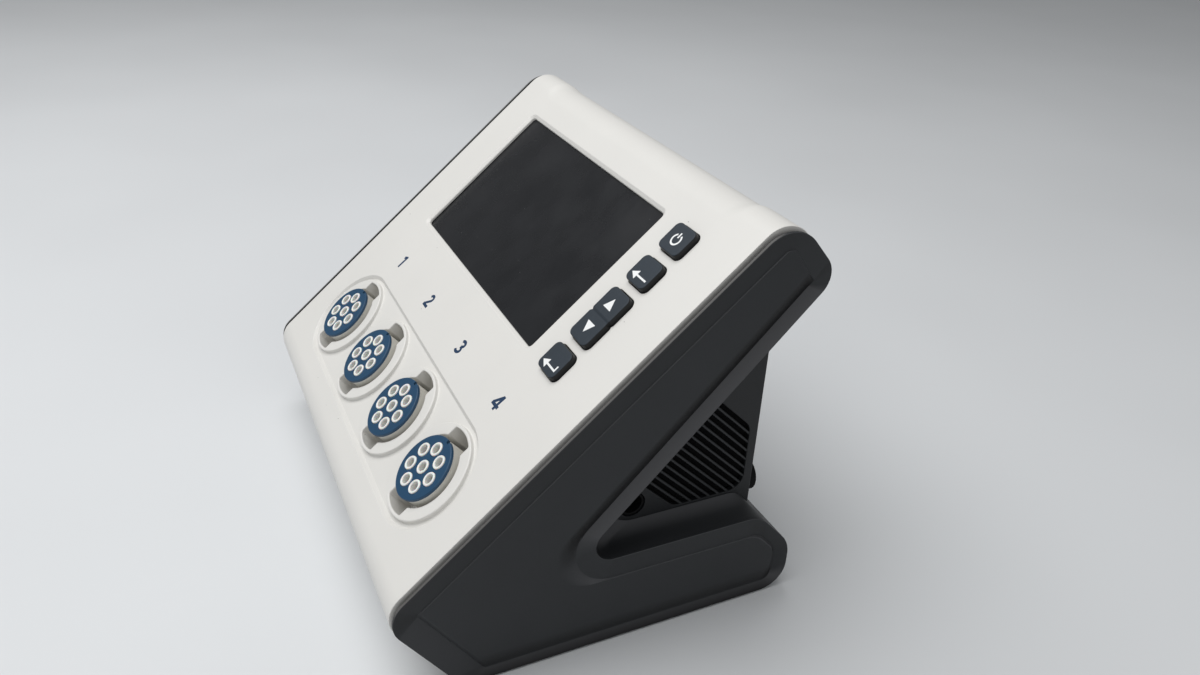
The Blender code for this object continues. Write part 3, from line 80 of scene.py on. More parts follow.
# Widths, walls and clearances
MIDDLE_HALF_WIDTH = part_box("rear_housing")[1].x
COVER_HALF_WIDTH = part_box("front_cover")[1].x
CHEEK_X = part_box("right_cheek")[1].x
RIM_WIDTH = 0.0014
RIM_DROP = 0.0006
GROOVE_X = CHEEK_X - RIM_WIDTH
GAP = 0.0003
CHEEK_INNER_X = MIDDLE_HALF_WIDTH + GAP
COVER_WALL = 0.0025
COVER_LIP = 0.0047
WALL = 0.0025
SETBACK = COVER_LIP + GAP
OVERRUN = 0.0100
RIM_REACH = 0.0004
MERGE = 0.000001
CORNER_STEPS = 14
ROUND_STEPS = 4
TURN_SIDES = 72
SHARP_ABOVE = math.radians(38)
SQUARE = ((-1, -1), (1, -1), (1, 1), (-1, 1))

# Cheeks
LEDGE_RISE = 0.0050
LEDGE_STEPS = 12
LEDGE_POWER = 3.3
LEDGE_SPACING = 1.5
RIM_ROUND = 0.0003
RIM_FOOT_SHARE = 0.5
CHEEK_SKIRT = 0.0012
BORDER_DEPTH = 0.0040
CHEEK_FACE = 0.0020
FIELD_DEPTH = 0.0003
SHOULDER_STEPS = 12
SHOULDER_SKEW = 0.7

# The cheek's field by side: chin, bottom, rear, nose slope, base top, underside, arm end, panel
VALLEY_BORDERS = (0.0119, 0.0044, 0.0072, 0.0066, 0.0111, 0.0056, (0.0106, 0.0073), 0.0100)
VALLEY_RADII = (0.0025, 0.0030, 0.0050, 0.0110, 0.0140, 0.0165, 0.0030, 0.0043)
VALLEY_DEPTHS = (0.0022, 0.0017, 0.0026, 0.0018, 0.0007, 0.0032, 0.0007, 0.0007)
SHOULDER_WIDTHS = (0.0028, 0.0100, 0.0022, 0.0014, 0.0004, 0.0080, 0.0004, 0.0004)

# Front cover
EDGE_ROUND = 0.0003
COVER_FOOT_CLEAR = 0.0070
LIP_DRAFT = 0.0003
COVER_TOP_RADIUS = 0.0140
GRIP_RADIUS = 0.0178
GRIP_HALF_WIDTH = 0.0945
GRIP_BLEND = 0.0090
GRIP_STEPS = 14

# Outlets
ROW_FROM_CHIN = 0.0480
OUTLET_PITCH = 0.0522
OUTLET_COUNT = 4
TRAY_RADIUS = 0.0278
TRAY_DEPTH = 0.0018
TRAY_DRAFT = 0.0016
TRAY_BACKING = 0.0045
TRAY_ROUND = 0.0006
TRAY_FLOOR_SHARE = 3
TRAY_STEPS = 3 * CORNER_STEPS
COLLAR_RADIUS = 0.0242
COLLAR_HEIGHT = 0.0004
COLLAR_ROUND = 0.0006
COLLAR_FOOT = 0.0006
WELL_RADIUS = 0.0179
WELL_DEPTH = 0.0140
WELL_FLOOR = 0.0020
WELL_ROUND = 0.0006
WELL_FLOOR_SHARE = 1.2
NOTCH_HALF_WIDTH = 0.0084
NOTCH_RADIUS = 0.0225
NOTCH_ROUND = 0.0010
NOTCH_START_SHARE = 1.4
SLEEVE_RADIUS = 0.0156
SLEEVE_BORE = 0.0140
SLEEVE_TOP = 0.0017
SLEEVE_TAIL = 0.0220
SLEEVE_FLANGE_RADIUS = 0.0190
SLEEVE_ROUND = 0.0003
CAP_RADIUS = 0.0160
CAP_TOP = 0.0035
CAP_ROUND = 0.0004
KEY_NOTCH_WIDTH = 0.0018
KEY_NOTCH_DEPTH = 0.0014
TUBE_RING_RADIUS = 0.0095
TUBES_ON_RING = 7
TUBE_RADIUS = 0.0034
TUBE_BORE = 0.0022
TUBE_TOP = 0.0041
TUBE_ROUND = 0.0005
TUBE_PLATE = 0.0030
TUBE_SIDES = 36

# Display
WINDOW_X = -0.0143
WINDOW_S = 0.1106
WINDOW_WIDTH = 0.1571
WINDOW_HEIGHT = 0.0847
WINDOW_RADIUS = 0.0022
WINDOW_BEVEL = 0.0019
WINDOW_BEVEL_DEPTH = 0.0013
WINDOW_ROUND = 0.0008
LENS_MARGIN = 0.0040
LENS_THICKNESS = 0.0015

# Keys
KEY_X = 0.0886
KEY_WIDTH = 0.0160
KEY_HEIGHT = 0.0142
KEY_RADIUS = 0.0030
KEY_CLEARANCE = 0.0005
KEY_OPENING_ROUND = 0.0003
KEY_PROUD = 0.0027
KEY_ROUND = 0.0006
KEY_EDGE_STEPS = 6
KEY_STEPS = 8
KEY_FLANGE = 0.0015
KEY_FLANGE_WIDTH = 0.0015
KEY_SEAT = -COVER_WALL - GAP - KEY_FLANGE / 2
POWER_S = 0.1468
BACK_S = 0.1272
ROCKER_S = 0.1006
ENTER_S = 0.0741
ROCKER_HEIGHT = 0.0287
ROCKER_WAIST = 0.0008
ROCKER_WAIST_HALF = 0.0012
ROCKER_TAB_HALF = 0.0025
GROOVE_DEPTH = 0.0006
GROOVE_ROUND = ROCKER_WAIST_HALF / 3
GROOVE_REACH = ROCKER_WAIST_HALF * 1.6
KEYS = (
    ("power_button", "power_key", POWER_S, KEY_HEIGHT, 0.0),
    ("back_button", "back_key", BACK_S, KEY_HEIGHT, 0.0),
    ("up_down_rocker", "rocker_key", ROCKER_S, ROCKER_HEIGHT, ROCKER_WAIST),
    ("enter_button", "enter_key", ENTER_S, KEY_HEIGHT, 0.0),
)

# Printed marks
PRINT_HEIGHT = 0.00004
POWER_RING_RADIUS = 0.0027
POWER_RING_GAP_DEGREES = 32
POWER_RING_STEPS = 40
POWER_DROP = 0.0004
MARK_STROKE = 0.0009
POWER_BAR_LOW = 0.0008
POWER_BAR_HIGH = 0.0036
ARROW_LENGTH = 0.0119
ARROW_HEAD_LENGTH = 0.0043
ARROW_HEAD_HEIGHT = 0.0046
BACK_ARROW_DROP = 0.0030
ENTER_ARROW_DROP = 0.0034
ENTER_HOOK_HEIGHT = 0.0026
TRIANGLE_NEAR = 0.0043
TRIANGLE_FAR = 0.0098
TRIANGLE_WIDTH = 0.0064
NUMBER_S = 0.0428
NUMBER_HEIGHT = 0.0080
NUMBER_REACH_SHARE = 0.31
NUMBER_STROKE = 0.0016
NUMBER_SLANT = 0.08
BOWL_SPREAD = 1.3

# Middle housing and grilles
REAR_WALL_Y = 0.0815
SEAM_Z = 0.0400
HOUSING_ROUND = 0.0008
GRILLE_START = 0.0446
GRILLE_LENGTH = 0.0523
GRILLE_TOP_MARGIN = 0.0050
GRILLE_BOTTOM_Z = 0.0547
GRILLE_REAR_Y = 0.0768
GRILLE_RADIUS = 0.0080
GRILLE_ROUND = 0.0003
SLOT_COUNT = 15
SLOT_WIDTH = 0.0023
SLAT_SUNK = 0.00025
SLAT_ROUND = 0.0003
SLAT_ANCHOR = 0.0002
PORT_Y = 0.0178
PORT_Z = 0.0618
PORT_RADIUS = 0.0064
PORT_WALL = 0.0012
PORT_LENGTH = 0.0080
PORT_SUNK = 0.0005
PORT_ROUND = 0.0003
INLET_X = 0.1030
INLET_Z = 0.0540
INLET_RADIUS = 0.0085
INLET_PROUD = 0.0052
INLET_NECK_RADIUS = 0.0060
INLET_TAIL = 0.0010
INLET_BORE = 0.0038
INLET_FLOOR = 0.0010
INLET_PIN_RADIUS = 0.0010
INLET_PIN_SHORT = 0.0020
INLET_ROUND = 0.0008

# Base
FOOT_X = 0.0920
FOOT_RADIUS = 0.0080
FOOT_HEIGHT = 0.0030
FOOT_ROUND = 0.0006
FRONT_FOOT_Y = -0.0480
REAR_FOOT_Y = 0.0740
CORNER_COUNT = 4
SCREW_X = 0.1060
SCREW_BOSS_RADIUS = 0.0048
SCREW_BOSS_TOP_Z = 0.0120
SCREW_HEAD_RADIUS = 0.0034
SCREW_HEAD_HEIGHT = 0.0018
SCREW_HEAD_SUNK = 0.0006
SCREW_HEAD_ROUND = 0.0005
SCREW_CROSS_HALF = 0.0004
SCREW_CROSS_REACH = 0.0019
SCREW_CROSS_DEPTH = 0.0010
SCREW_RADIUS = 0.0015
SCREW_LENGTH = 0.0150

# Moulded finishes: colour, roughness, size and height of the grain, drift in tone
MOULDED = {
    "cover_white": ((0.670, 0.660, 0.632), 0.42, 0.00045, 0.000006, 0.012),
    "cheek_grey": ((0.0205, 0.0222, 0.0245), 0.52, 0.00040, 0.000012, 0.07),
    "housing_grey": ((0.0095, 0.0105, 0.0120), 0.50, 0.00040, 0.000010, 0.07),
    "slat_grey": ((0.0240, 0.0258, 0.0285), 0.50, 0.00040, 0.000010, 0.07),
    "key_slate": ((0.0145, 0.0235, 0.0340), 0.55, 0.00030, 0.000008, 0.06),
    "key_print": ((0.80, 0.81, 0.81), 0.50, 0.00020, 0.000004, 0.03),
    "number_print": ((0.003, 0.028, 0.080), 0.45, 0.00020, 0.000003, 0.08),
    "outlet_blue": ((0.0030, 0.045, 0.105), 0.42, 0.00035, 0.000005, 0.06),
    "sleeve_grey": ((0.68, 0.66, 0.60), 0.45, 0.00045, 0.000006, 0.03),
    "tube_white": ((0.76, 0.76, 0.73), 0.38, 0.00030, 0.000004, 0.02),
    "socket_black": ((0.0025, 0.0025, 0.0030), 0.70, 0.00035, 0.000005, 0.08),
    "foot_rubber": ((0.020, 0.020, 0.021), 0.85, 0.00060, 0.000030, 0.15),
    "hose_milk": ((0.58, 0.58, 0.56), 0.45, 0.00050, 0.000006, 0.04),
    "manifold_grey": ((0.34, 0.35, 0.34), 0.50, 0.00050, 0.000010, 0.05),
    "fan_black": ((0.013, 0.013, 0.014), 0.50, 0.00040, 0.000008, 0.05),
}
DRIFT_SIZE = 0.045
DRIFT_HEIGHT = 0.00006
GRAIN_DETAIL = 3.0
GLOSSIER = 0.05
DULLER = 0.06
SPECK_CORE_SHARE = 0.7
# Directions of the object that the cheeks' painted highlight (up) and painted shade (down towards the rear)
# follow.
SKY_DIRECTION = (0.0, 0.0, 1.0)
SHADED_DIRECTION = (0.0, 0.55, -0.83)

# Floor and light
FLOOR_REACH = 8.0
WORLD_COLOUR = (0.97, 0.985, 1.0)
WORLD_STRENGTH = 0.27
LAMPS = (
    ("ceiling_softbox", (-0.25, -0.45, 1.50), (0.0, 0.0, 0.1), 1.5, 26.0),
    ("side_fill", (1.5, -0.25, 0.45), (0.1, 0.0, 0.1), 0.9, 4.0),
)

# Directions and places worked out from the values
UP_SLOPE = Vector((math.cos(TILT), math.sin(TILT)))
OUT_OF_PANEL = Vector((-math.sin(TILT), math.cos(TILT)))
PANEL_DIRECTION = (0.0, OUT_OF_PANEL.x, OUT_OF_PANEL.y)
ROW_ORIGIN = Vector((CHIN_Y, CHIN_Z)) + UP_SLOPE * ROW_FROM_CHIN
UNDERSIDE = Vector((math.cos(UNDERSIDE_SLOPE), math.sin(UNDERSIDE_SLOPE)))
BELOW_ARM = Vector((UNDERSIDE.y, -UNDERSIDE.x))
OUTLET_X = [(index - (OUTLET_COUNT - 1) / 2) * OUTLET_PITCH for index in range(OUTLET_COUNT)]


# Outlines, with corners as (a, b, radius), counter-clockwise


def arc_at(before, corner, after, radius, steps):
    """Points of the arc that rounds a corner between two neighbours."""
    to_before = (before - corner).normalized()
    to_after = (after - corner).normalized()
    half = to_before.angle(to_after) / 2
    reach = radius / math.tan(half)
    centre = corner + (to_before + to_after).normalized() * (radius / math.sin(half))
    start = corner + to_before * reach - centre
    end = corner + to_after * reach - centre
    sweep = math.atan2(start.x * end.y - start.y * end.x, start.dot(end))
    return [centre + Matrix.Rotation(sweep * step / steps, 2) @ start for step in range(steps + 1)]


def rounded(corners, steps=CORNER_STEPS, even=False):
    """A closed outline with each corner rounded by its own radius, the sharp ones in one step."""
    places = [Vector(corner[:2]) for corner in corners]
    points = []
    for index, corner in enumerate(corners):
        after = places[(index + 1) % len(places)]
        steps_here = steps if even or corner[2] > SMALLEST_RADIUS else 1
        points += arc_at(places[index - 1], places[index], after, corner[2], steps_here)
    return points


def inset(corners, depths):
    """The outline moved inwards, with one depth per side, or a pair for a side that turns."""
    lines = []
    for index, depth in enumerate(depths):
        start = Vector(corners[index][:2])
        end = Vector(corners[(index + 1) % len(corners)][:2])
        along = (end - start).normalized()
        inward = Vector((-along.y, along.x))
        first, last = depth if isinstance(depth, tuple) else (depth, depth)
        moved_start = start + inward * first
        moved_end = end + inward * last
        lines.append((moved_start, (moved_end - moved_start).normalized(), min(first, last)))
    moved = []
    for index, corner in enumerate(corners):
        place, along, depth = lines[index - 1]
        next_place, next_along, next_depth = lines[index]
        turn = along.x * next_along.y - along.y * next_along.x
        offset = next_place - place
        reach = (offset.x * next_along.y - offset.y * next_along.x) / turn
        change = depth if depth == next_depth else abs(min(depth, next_depth))
        radius = corner[2] - (change if turn > 0 else -change)
        where = place + along * reach
        moved.append((where.x, where.y, max(radius, SMALLEST_RADIUS)))
    return moved


def inset_evenly(corners, depth):
    return inset(corners, [depth] * len(corners)) if depth else corners


def body_corners(top_radius=TOP_RADIUS):
    """Whole side outline: chin, front foot, rear foot, base nose, base top, gap, arm end, top."""
    chin = Vector((CHIN_Y, CHIN_Z))
    top = chin + UP_SLOPE * PANEL_LENGTH
    arm_end = top - OUT_OF_PANEL * ARM_END_DEPTH
    front_foot_y = CHIN_Y + (CHIN_Z - SHELL_BOTTOM_Z) / math.tan(CHIN_SLOPE)
    base_top_y = BASE_REAR_Y - (ARM_TOP_Z - BASE_NOSE_Z) / math.tan(BASE_SLOPE)
    gap_y = arm_end.x - (arm_end.y - ARM_TOP_Z) / math.tan(UNDERSIDE_SLOPE)
    return [
        (CHIN_Y, CHIN_Z, CHIN_RADIUS),
        (front_foot_y, SHELL_BOTTOM_Z, FRONT_FOOT_RADIUS),
        (BASE_REAR_Y, SHELL_BOTTOM_Z, REAR_FOOT_RADIUS),
        (BASE_REAR_Y, BASE_NOSE_Z, BASE_NOSE_RADIUS),
        (base_top_y, ARM_TOP_Z, BASE_TOP_RADIUS),
        (gap_y, ARM_TOP_Z, GAP_NOSE_RADIUS),
        (arm_end.x, arm_end.y, ARM_END_RADIUS),
        (top.x, top.y, top_radius),
    ]


def cheek_corners():
    """The side outline with the cheeks' lower edge brought nearer the table."""
    corners = body_corners()
    front, rear = corners[1], corners[2]
    corners[1] = (front[0] + CHEEK_SKIRT / math.tan(CHIN_SLOPE), front[1] - CHEEK_SKIRT, front[2])
    corners[2] = (rear[0], rear[1] - CHEEK_SKIRT, rear[2])
    return corners


def core_corners(rise=0.0, depth=0.0):
    """What lies under the cover: the body outline set back on chin, end and panel."""
    corners = inset(body_corners(), [SETBACK, 0.0, 0.0, 0.0, -rise, 0.0, SETBACK, SETBACK])
    corners[-1] = (corners[-1][0], corners[-1][1], SETBACK_TOP_RADIUS)
    return inset_evenly(corners, depth)


def rectangle_corners(width, height, radius, centre=(0.0, 0.0)):
    across, up = width / 2, height / 2
    return [(centre[0] + across * a, centre[1] + up * b, radius) for a, b in SQUARE]


def circle(radius, sides=TURN_SIDES):
    turns = [2 * math.pi * index / sides for index in range(sides)]
    return [Vector((radius * math.cos(turn), radius * math.sin(turn))) for turn in turns]


# Meshes


def tidy(mesh, flip_check=True):
    """Merge doubled points and turn the faces outwards."""
    work = bmesh.new()
    work.from_mesh(mesh)
    bmesh.ops.remove_doubles(work, verts=work.verts, dist=MERGE)
    bmesh.ops.dissolve_degenerate(work, edges=work.edges, dist=MERGE)
    if flip_check:
        bmesh.ops.recalc_face_normals(work, faces=work.faces)
    work.to_mesh(mesh)
    work.free()
    return mesh


def loft(rings):
    """A skin over rings of equal count, closed at both ends."""
    count = len(rings[0])
    points = [point for ring in rings for point in ring]
    faces = [tuple(reversed(range(count))), tuple(range(len(points) - count, len(points)))]
    for low in range(0, len(points) - count, count):
        high = low + count
        for index in range(count):
            after = (index + 1) % count
            faces.append((low + index, low + after, high + after, high + index))
    mesh = bpy.data.meshes.new("loft")
    mesh.from_pydata(points, [], faces)
    return tidy(mesh)


def side_ring(x, points):
    """A Y-Z outline at one x."""
    return [Vector((x, point[0], point[1])) for point in points]


def side_prism(points, x_low, x_high):
    return loft([side_ring(x_low, points), side_ring(x_high, points)])


def quarter_turn():
    """Sine and cosine at each step round a quarter of a circle."""
    turns = [math.pi / 2 * step / ROUND_STEPS for step in range(ROUND_STEPS + 1)]
    return [(math.sin(turn), math.cos(turn)) for turn in turns]


def soft_prism(corners, half_width, radius):
    """A prism along x whose outer edges are rounded."""
    rings = []
    for side, turns in ((-1, quarter_turn()), (1, quarter_turn()[::-1])):
        for sine, cosine in turns:
            x = side * (half_width - radius * (1 - cosine))
            rings.append(side_ring(x, rounded(inset_evenly(corners, radius * (1 - sine)), even=True)))
    return loft(rings)


def level_rings(levels):
    """Outlines in a piece's own x-y plane, each at its own height."""
    return [[Vector((point[0], point[1], height)) for point in points] for height, points in levels]


def slab(outline, low, high):
    """An outline in a piece's own x-y plane, carried straight up."""
    return loft(level_rings([(low, outline), (high, outline)]))


def rod(radius, low, high):
    return slab(circle(radius, TUBE_SIDES), low, high)


def turned(profile, sides=TURN_SIDES):
    """A closed profile of (radius, height) spun about the piece's own z axis."""
    work = bmesh.new()
    points = [work.verts.new((radius, 0, height)) for radius, height in profile]
    edges = [work.edges.new(pair) for pair in zip(points, points[1:])]
    if profile[0][0] or profile[-1][0]:
        edges.append(work.edges.new((points[-1], points[0])))
    bmesh.ops.spin(
        work,
        geom=points + edges,
        axis=(0, 0, 1),
        cent=(0, 0, 0),
        angle=2 * math.pi,
        steps=sides,
        use_merge=True,
    )
    mesh = bpy.data.meshes.new("turned")
    work.to_mesh(mesh)
    work.free()
    return tidy(mesh)


def softened(profile, steps=ROUND_STEPS):
    """A profile of (a, b, radius) whose inner corners are rounded and whose ends stay as they are."""
    places = [Vector(corner[:2]) for corner in profile]
    points = [places[0]]
    for index in range(1, len(profile) - 1):
        radius = profile[index][2]
        if radius:
            points += arc_at(places[index - 1], places[index], places[index + 1], radius, steps)
        else:
            points.append(places[index])
    return points + [places[-1]]


def moulded_cut(profile, outline_at):
    """A cutter whose wall follows a profile of (margin, height, radius), from the face down to its floor."""
    points = softened(profile)
    rim, below = points[1], points[2]
    above = rim + (rim - below).normalized() * RIM_REACH
    levels = [(OVERRUN, outline_at(above.x)), (above.y, outline_at(above.x))]
    levels += [(point.y, outline_at(point.x)) for point in points[2:]]
    return loft(level_rings(levels))


def placed(mesh, matrix):
    mesh.transform(matrix)
    return mesh


def new_piece(name, mesh, finish):
    mesh.name = name
    item = bpy.data.objects.new(name, mesh)
    bpy.context.scene.collection.objects.link(item)
    mesh.materials.clear()
    mesh.materials.append(finish)
    return item


def settle(item):
    """Keep what the modifiers make as the piece's own plain mesh."""
    bpy.context.view_layer.update()
    seen = item.evaluated_get(bpy.context.evaluated_depsgraph_get())
    item.data = bpy.data.meshes.new_from_object(seen)
    item.modifiers.clear()
    return item


def carve(item, tools, operation="DIFFERENCE"):
    """Boolean the tool meshes into a piece, one after another."""
    for mesh in tools:
        tool = bpy.data.objects.new("tool", mesh)
        bpy.context.scene.collection.objects.link(tool)
        modifier = item.modifiers.new("carve", "BOOLEAN")
        modifier.operation = operation
        modifier.object = tool
        modifier.solver = "EXACT"
        settle(item)
        bpy.data.objects.remove(tool, do_unlink=True)
        tidy(item.data, flip_check=False)
    return item


def hand_over(item, body, slot, *nodes):
    """Smooth a finished piece, let it stand for its solids and ride on its body."""
    item.data.shade_smooth()
    item.data.set_sharp_from_angle(angle=SHARP_ABOVE)
    modifier = item.modifiers.new("even_shading", "WEIGHTED_NORMAL")
    modifier.keep_sharp = True
    settle(item)
    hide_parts(*nodes)
    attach(item, body)
    return item


# Places


def panel_matrix(x=0.0, s=0.0, n=0.0):
    """The panel's frame: x across, y up the slope, z out of the surface."""
    place = ROW_ORIGIN + UP_SLOPE * s + OUT_OF_PANEL * n
    matrix = Matrix.Rotation(TILT, 4, "X")
    matrix.translation = Vector((x, place.x, place.y))
    return matrix


def along_x(x, y, z):
    """A frame whose own z axis runs along +X."""
    matrix = Matrix.Rotation(math.pi / 2, 4, "Y")
    matrix.translation = Vector((x, y, z))
    return matrix


def along_y(x, y, z):
    """A frame whose own z axis runs along +Y."""
    matrix = Matrix.Rotation(-math.pi / 2, 4, "X")
    matrix.translation = Vector((x, y, z))
    return matrix


def grille_matrix():
    """The grille's frame: x up along the arm's underside, y square below it, z towards -X."""
    corner = body_corners()[5]
    columns = (
        (0.0, UNDERSIDE.x, UNDERSIDE.y),
        (0.0, BELOW_ARM.x, BELOW_ARM.y),
        (-1.0, 0.0, 0.0),
    )
    matrix = Matrix(columns).transposed().to_4x4()
    matrix.translation = Vector((0.0, corner[0], corner[1]))
    return matrix


# Finishes


def start_finish(name, colour, **sockets):
    """A new material with constants set on its shader."""
    material = bpy.data.materials.new(name)
    material.use_nodes = True
    material.diffuse_color = (*colour, 1.0)
    tree = material.node_tree
    shader = tree.nodes["Principled BSDF"]
    shader.inputs["Base Color"].default_value = (*colour, 1.0)
    for label, value in sockets.items():
        shader.inputs[label.replace("_", " ")].default_value = value
    return material, tree, shader


def drive(tree, shader, **sources):
    """Let other nodes set some of the shader's sockets."""
    for label, source in sources.items():
        tree.links.new(source, shader.inputs[label.replace("_", " ")])


def coordinates(tree, kind="Object"):
    """Coordinates, or the normal, in the piece's own space."""
    return tree.nodes.new("ShaderNodeTexCoord").outputs[kind]


def noise(tree, size, detail=2.0, stretch=(1.0, 1.0, 1.0)):
    """Noise with features of one size in metres, fixed to the piece."""
    mapping = tree.nodes.new("ShaderNodeMapping")
    mapping.inputs["Scale"].default_value = stretch
    texture = tree.nodes.new("ShaderNodeTexNoise")
    texture.inputs["Scale"].default_value = 1 / size
    texture.inputs["Detail"].default_value = detail
    tree.links.new(coordinates(tree), mapping.inputs["Vector"])
    tree.links.new(mapping.outputs["Vector"], texture.inputs["Vector"])
    return texture.outputs["Fac"]


def cells(tree, size):
    """Cells of one size in metres: the distance to their middle, and each one's own colour."""
    texture = tree.nodes.new("ShaderNodeTexVoronoi")
    texture.inputs["Scale"].default_value = 1 / size
    tree.links.new(coordinates(tree), texture.inputs["Vector"])
    return texture.outputs["Distance"], texture.outputs["Color"]


def between(tree, source, low, high, start=0.3, end=0.7):
    """A number that runs from low to high as the source runs from start to end."""
    node = tree.nodes.new("ShaderNodeMapRange")
    for label, value in (("From Min", start), ("From Max", end), ("To Min", low), ("To Max", high)):
        node.inputs[label].default_value = value
    tree.links.new(source, node.inputs["Value"])
    return node.outputs["Result"]


def number(tree, operation, *values):
    """The sum, product or so of numbers, each given or from a socket."""
    node = tree.nodes.new("ShaderNodeMath")
    node.operation = operation
    for socket, value in zip(node.inputs, values):
        if isinstance(value, (int, float)):
            socket.default_value = value
        else:
            tree.links.new(value, socket)
    return node.outputs[0]


def facing(tree, direction):
    """How much a surface faces a direction of the object, from -1 to 1."""
    product = tree.nodes.new("ShaderNodeVectorMath")
    product.operation = "DOT_PRODUCT"
    product.inputs[1].default_value = direction
    tree.links.new(coordinates(tree, "Normal"), product.inputs[0])
    return product.outputs["Value"]


def sideways(tree, full):
    """One on faces that look to either side, and zero on those square to them."""
    across = number(tree, "ABSOLUTE", facing(tree, (1.0, 0.0, 0.0)))
    return between(tree, across, 0.0, 1.0, 0.3, full)


def mixed(tree, factor, first, second):
    """Colour from first to second by a factor. Each is a colour or another node's colour."""
    node = tree.nodes.new("ShaderNodeMix")
    node.data_type = "RGBA"
    tree.links.new(factor, node.inputs["Factor"])
    for socket, colour in ((node.inputs[6], first), (node.inputs[7], second)):
        if isinstance(colour, tuple):
            socket.default_value = (*colour, 1.0)
        else:
            tree.links.new(colour, socket)
    return node.outputs[2]


def shade(colour, share):
    return tuple(value * share for value in colour)


def specks(tree, spacing, radius, density):
    """One where a small speck lies, at random places, and zero elsewhere."""
    distance, colour = cells(tree, spacing)
    near = between(tree, distance, 1.0, 0.0, radius * SPECK_CORE_SHARE / spacing, radius / spacing)
    chosen = tree.nodes.new("ShaderNodeSeparateColor")
    tree.links.new(colour, chosen.inputs["Color"])
    return number(tree, "MULTIPLY", near, number(tree, "LESS_THAN", chosen.outputs["Red"], density))


def add_bumps(tree, shader, *layers):
    """Bumps from (source, height in metres), one on another."""
    below = None
    for source, height in layers:
        node = tree.nodes.new("ShaderNodeBump")
        node.inputs["Strength"].default_value = 1.0
        node.inputs["Distance"].default_value = height
        tree.links.new(source, node.inputs["Height"])
        if below:
            tree.links.new(below, node.inputs["Normal"])
        below = node.outputs["Normal"]
    tree.links.new(below, shader.inputs["Normal"])


def moulded(name, **sockets):
    """Moulded plastic or rubber: slow drift in tone, spark-eroded grain and uneven gloss."""
    colour, roughness, grain_size, grain_height, drift = MOULDED[name]
    material, tree, shader = start_finish(name, colour, **sockets)
    slow = noise(tree, DRIFT_SIZE, GRAIN_DETAIL)
    grain = noise(tree, grain_size, GRAIN_DETAIL)
    tone = mixed(tree, between(tree, slow, 0.0, 1.0), shade(colour, 1 - drift), shade(colour, 1 + drift))
    gloss = between(tree, grain, roughness - GLOSSIER, roughness + DULLER)
    drive(tree, shader, Base_Color=tone, Roughness=gloss)
    add_bumps(tree, shader, (slow, DRIFT_HEIGHT), (grain, grain_height))
    return material, tree, shader, tone


def cover_white():
    """Satin off-white shell, a little dusty, with a few dark specks."""
    material, tree, shader, tone = moulded("cover_white")
    dust = between(tree, noise(tree, 0.0016, 4.0), 0.0, 0.10, 0.62, 0.80)
    dusty = mixed(tree, dust, tone, (0.52, 0.50, 0.47))
    speckled = mixed(tree, specks(tree, 0.0090, 0.00028, 0.30), dusty, (0.10, 0.095, 0.09))
    drive(tree, shader, Base_Color=speckled)
    return material


def cheek_grey():
    """Charcoal of the side shells with pale dust specks, a painted highlight on what looks up and on the rim
    beside the cover, and painted shade below.
    """
    material, tree, shader, tone = moulded("cheek_grey", Specular_IOR_Level=0.30)
    dust = mixed(tree, specks(tree, 0.0070, 0.00016, 0.35), tone, (0.16, 0.16, 0.16))
    # Painted highlight: outer faces that tilt up are made paler, laid over the dust specks.
    outer = sideways(tree, 0.7)
    upward = between(tree, facing(tree, SKY_DIRECTION), 0.0, 1.0, 0.02, 0.32)
    dust_and_top_highlight = mixed(tree, number(tree, "MULTIPLY", outer, upward), dust, (0.051, 0.052, 0.056))
    # Painted highlight on the faces that look out of the panel, the rim's strip beside the cover.
    strip = between(tree, facing(tree, PANEL_DIRECTION), 0.0, 1.0, 0.85, 0.97)
    with_rim_highlight = mixed(tree, strip, dust_and_top_highlight, (0.092, 0.090, 0.087))
    # Painted shade: outer faces that look down towards the rear, and every face near the table, fading out
    # by 7.5 mm above it, are darkened to near black.
    downward = between(tree, facing(tree, SHADED_DIRECTION), 0.0, 1.0, 0.02, 0.26)
    axes = tree.nodes.new("ShaderNodeSeparateXYZ")
    tree.links.new(coordinates(tree), axes.inputs[0])
    near_table_shade = between(tree, axes.outputs["Z"], 1.0, 0.0, 0.0010, 0.0075)
    # sunk is the painted shade mask, the larger of the two.
    sunk = number(tree, "MAXIMUM", number(tree, "MULTIPLY", outer, downward), near_table_shade)
    drive(tree, shader, Base_Color=mixed(tree, sunk, with_rim_highlight, (0.0012, 0.0013, 0.0018)))
    return material


def housing_grey():
    """Charcoal of the middle housing, a little duller than the cheeks."""
    return moulded("housing_grey", Specular_IOR_Level=0.35)[0]


def slat_grey():
    """Charcoal of the grille bars, with painted shade on their side faces."""
    material, tree, shader, tone = moulded("slat_grey", Specular_IOR_Level=0.30)
    # Painted shade: faces that do not look to either side, the bars' side walls, are made near black.
    drive(tree, shader, Base_Color=mixed(tree, sideways(tree, 0.9), (0.0010, 0.0010, 0.0012), tone))
    return material


def window_dark():
    """Smoked window with a dull polish and dust on it."""
    colour = (0.0055, 0.0062, 0.0080)
    material, tree, shader = start_finish("window_dark", colour, IOR=1.42)
    smear = noise(tree, 0.020, 4.0, (1.0, 0.4, 1.0))
    tone = mixed(tree, between(tree, smear, 0.0, 1.0), shade(colour, 0.9), shade(colour, 1.15))
    dusty = mixed(tree, specks(tree, 0.0050, 0.00018, 0.5), tone, (0.20, 0.20, 0.20))
    drive(tree, shader, Base_Color=dusty, Roughness=between(tree, smear, 0.22, 0.34))
    add_bumps(tree, shader, (noise(tree, 0.0012, 2.0), 0.000001))
    return material


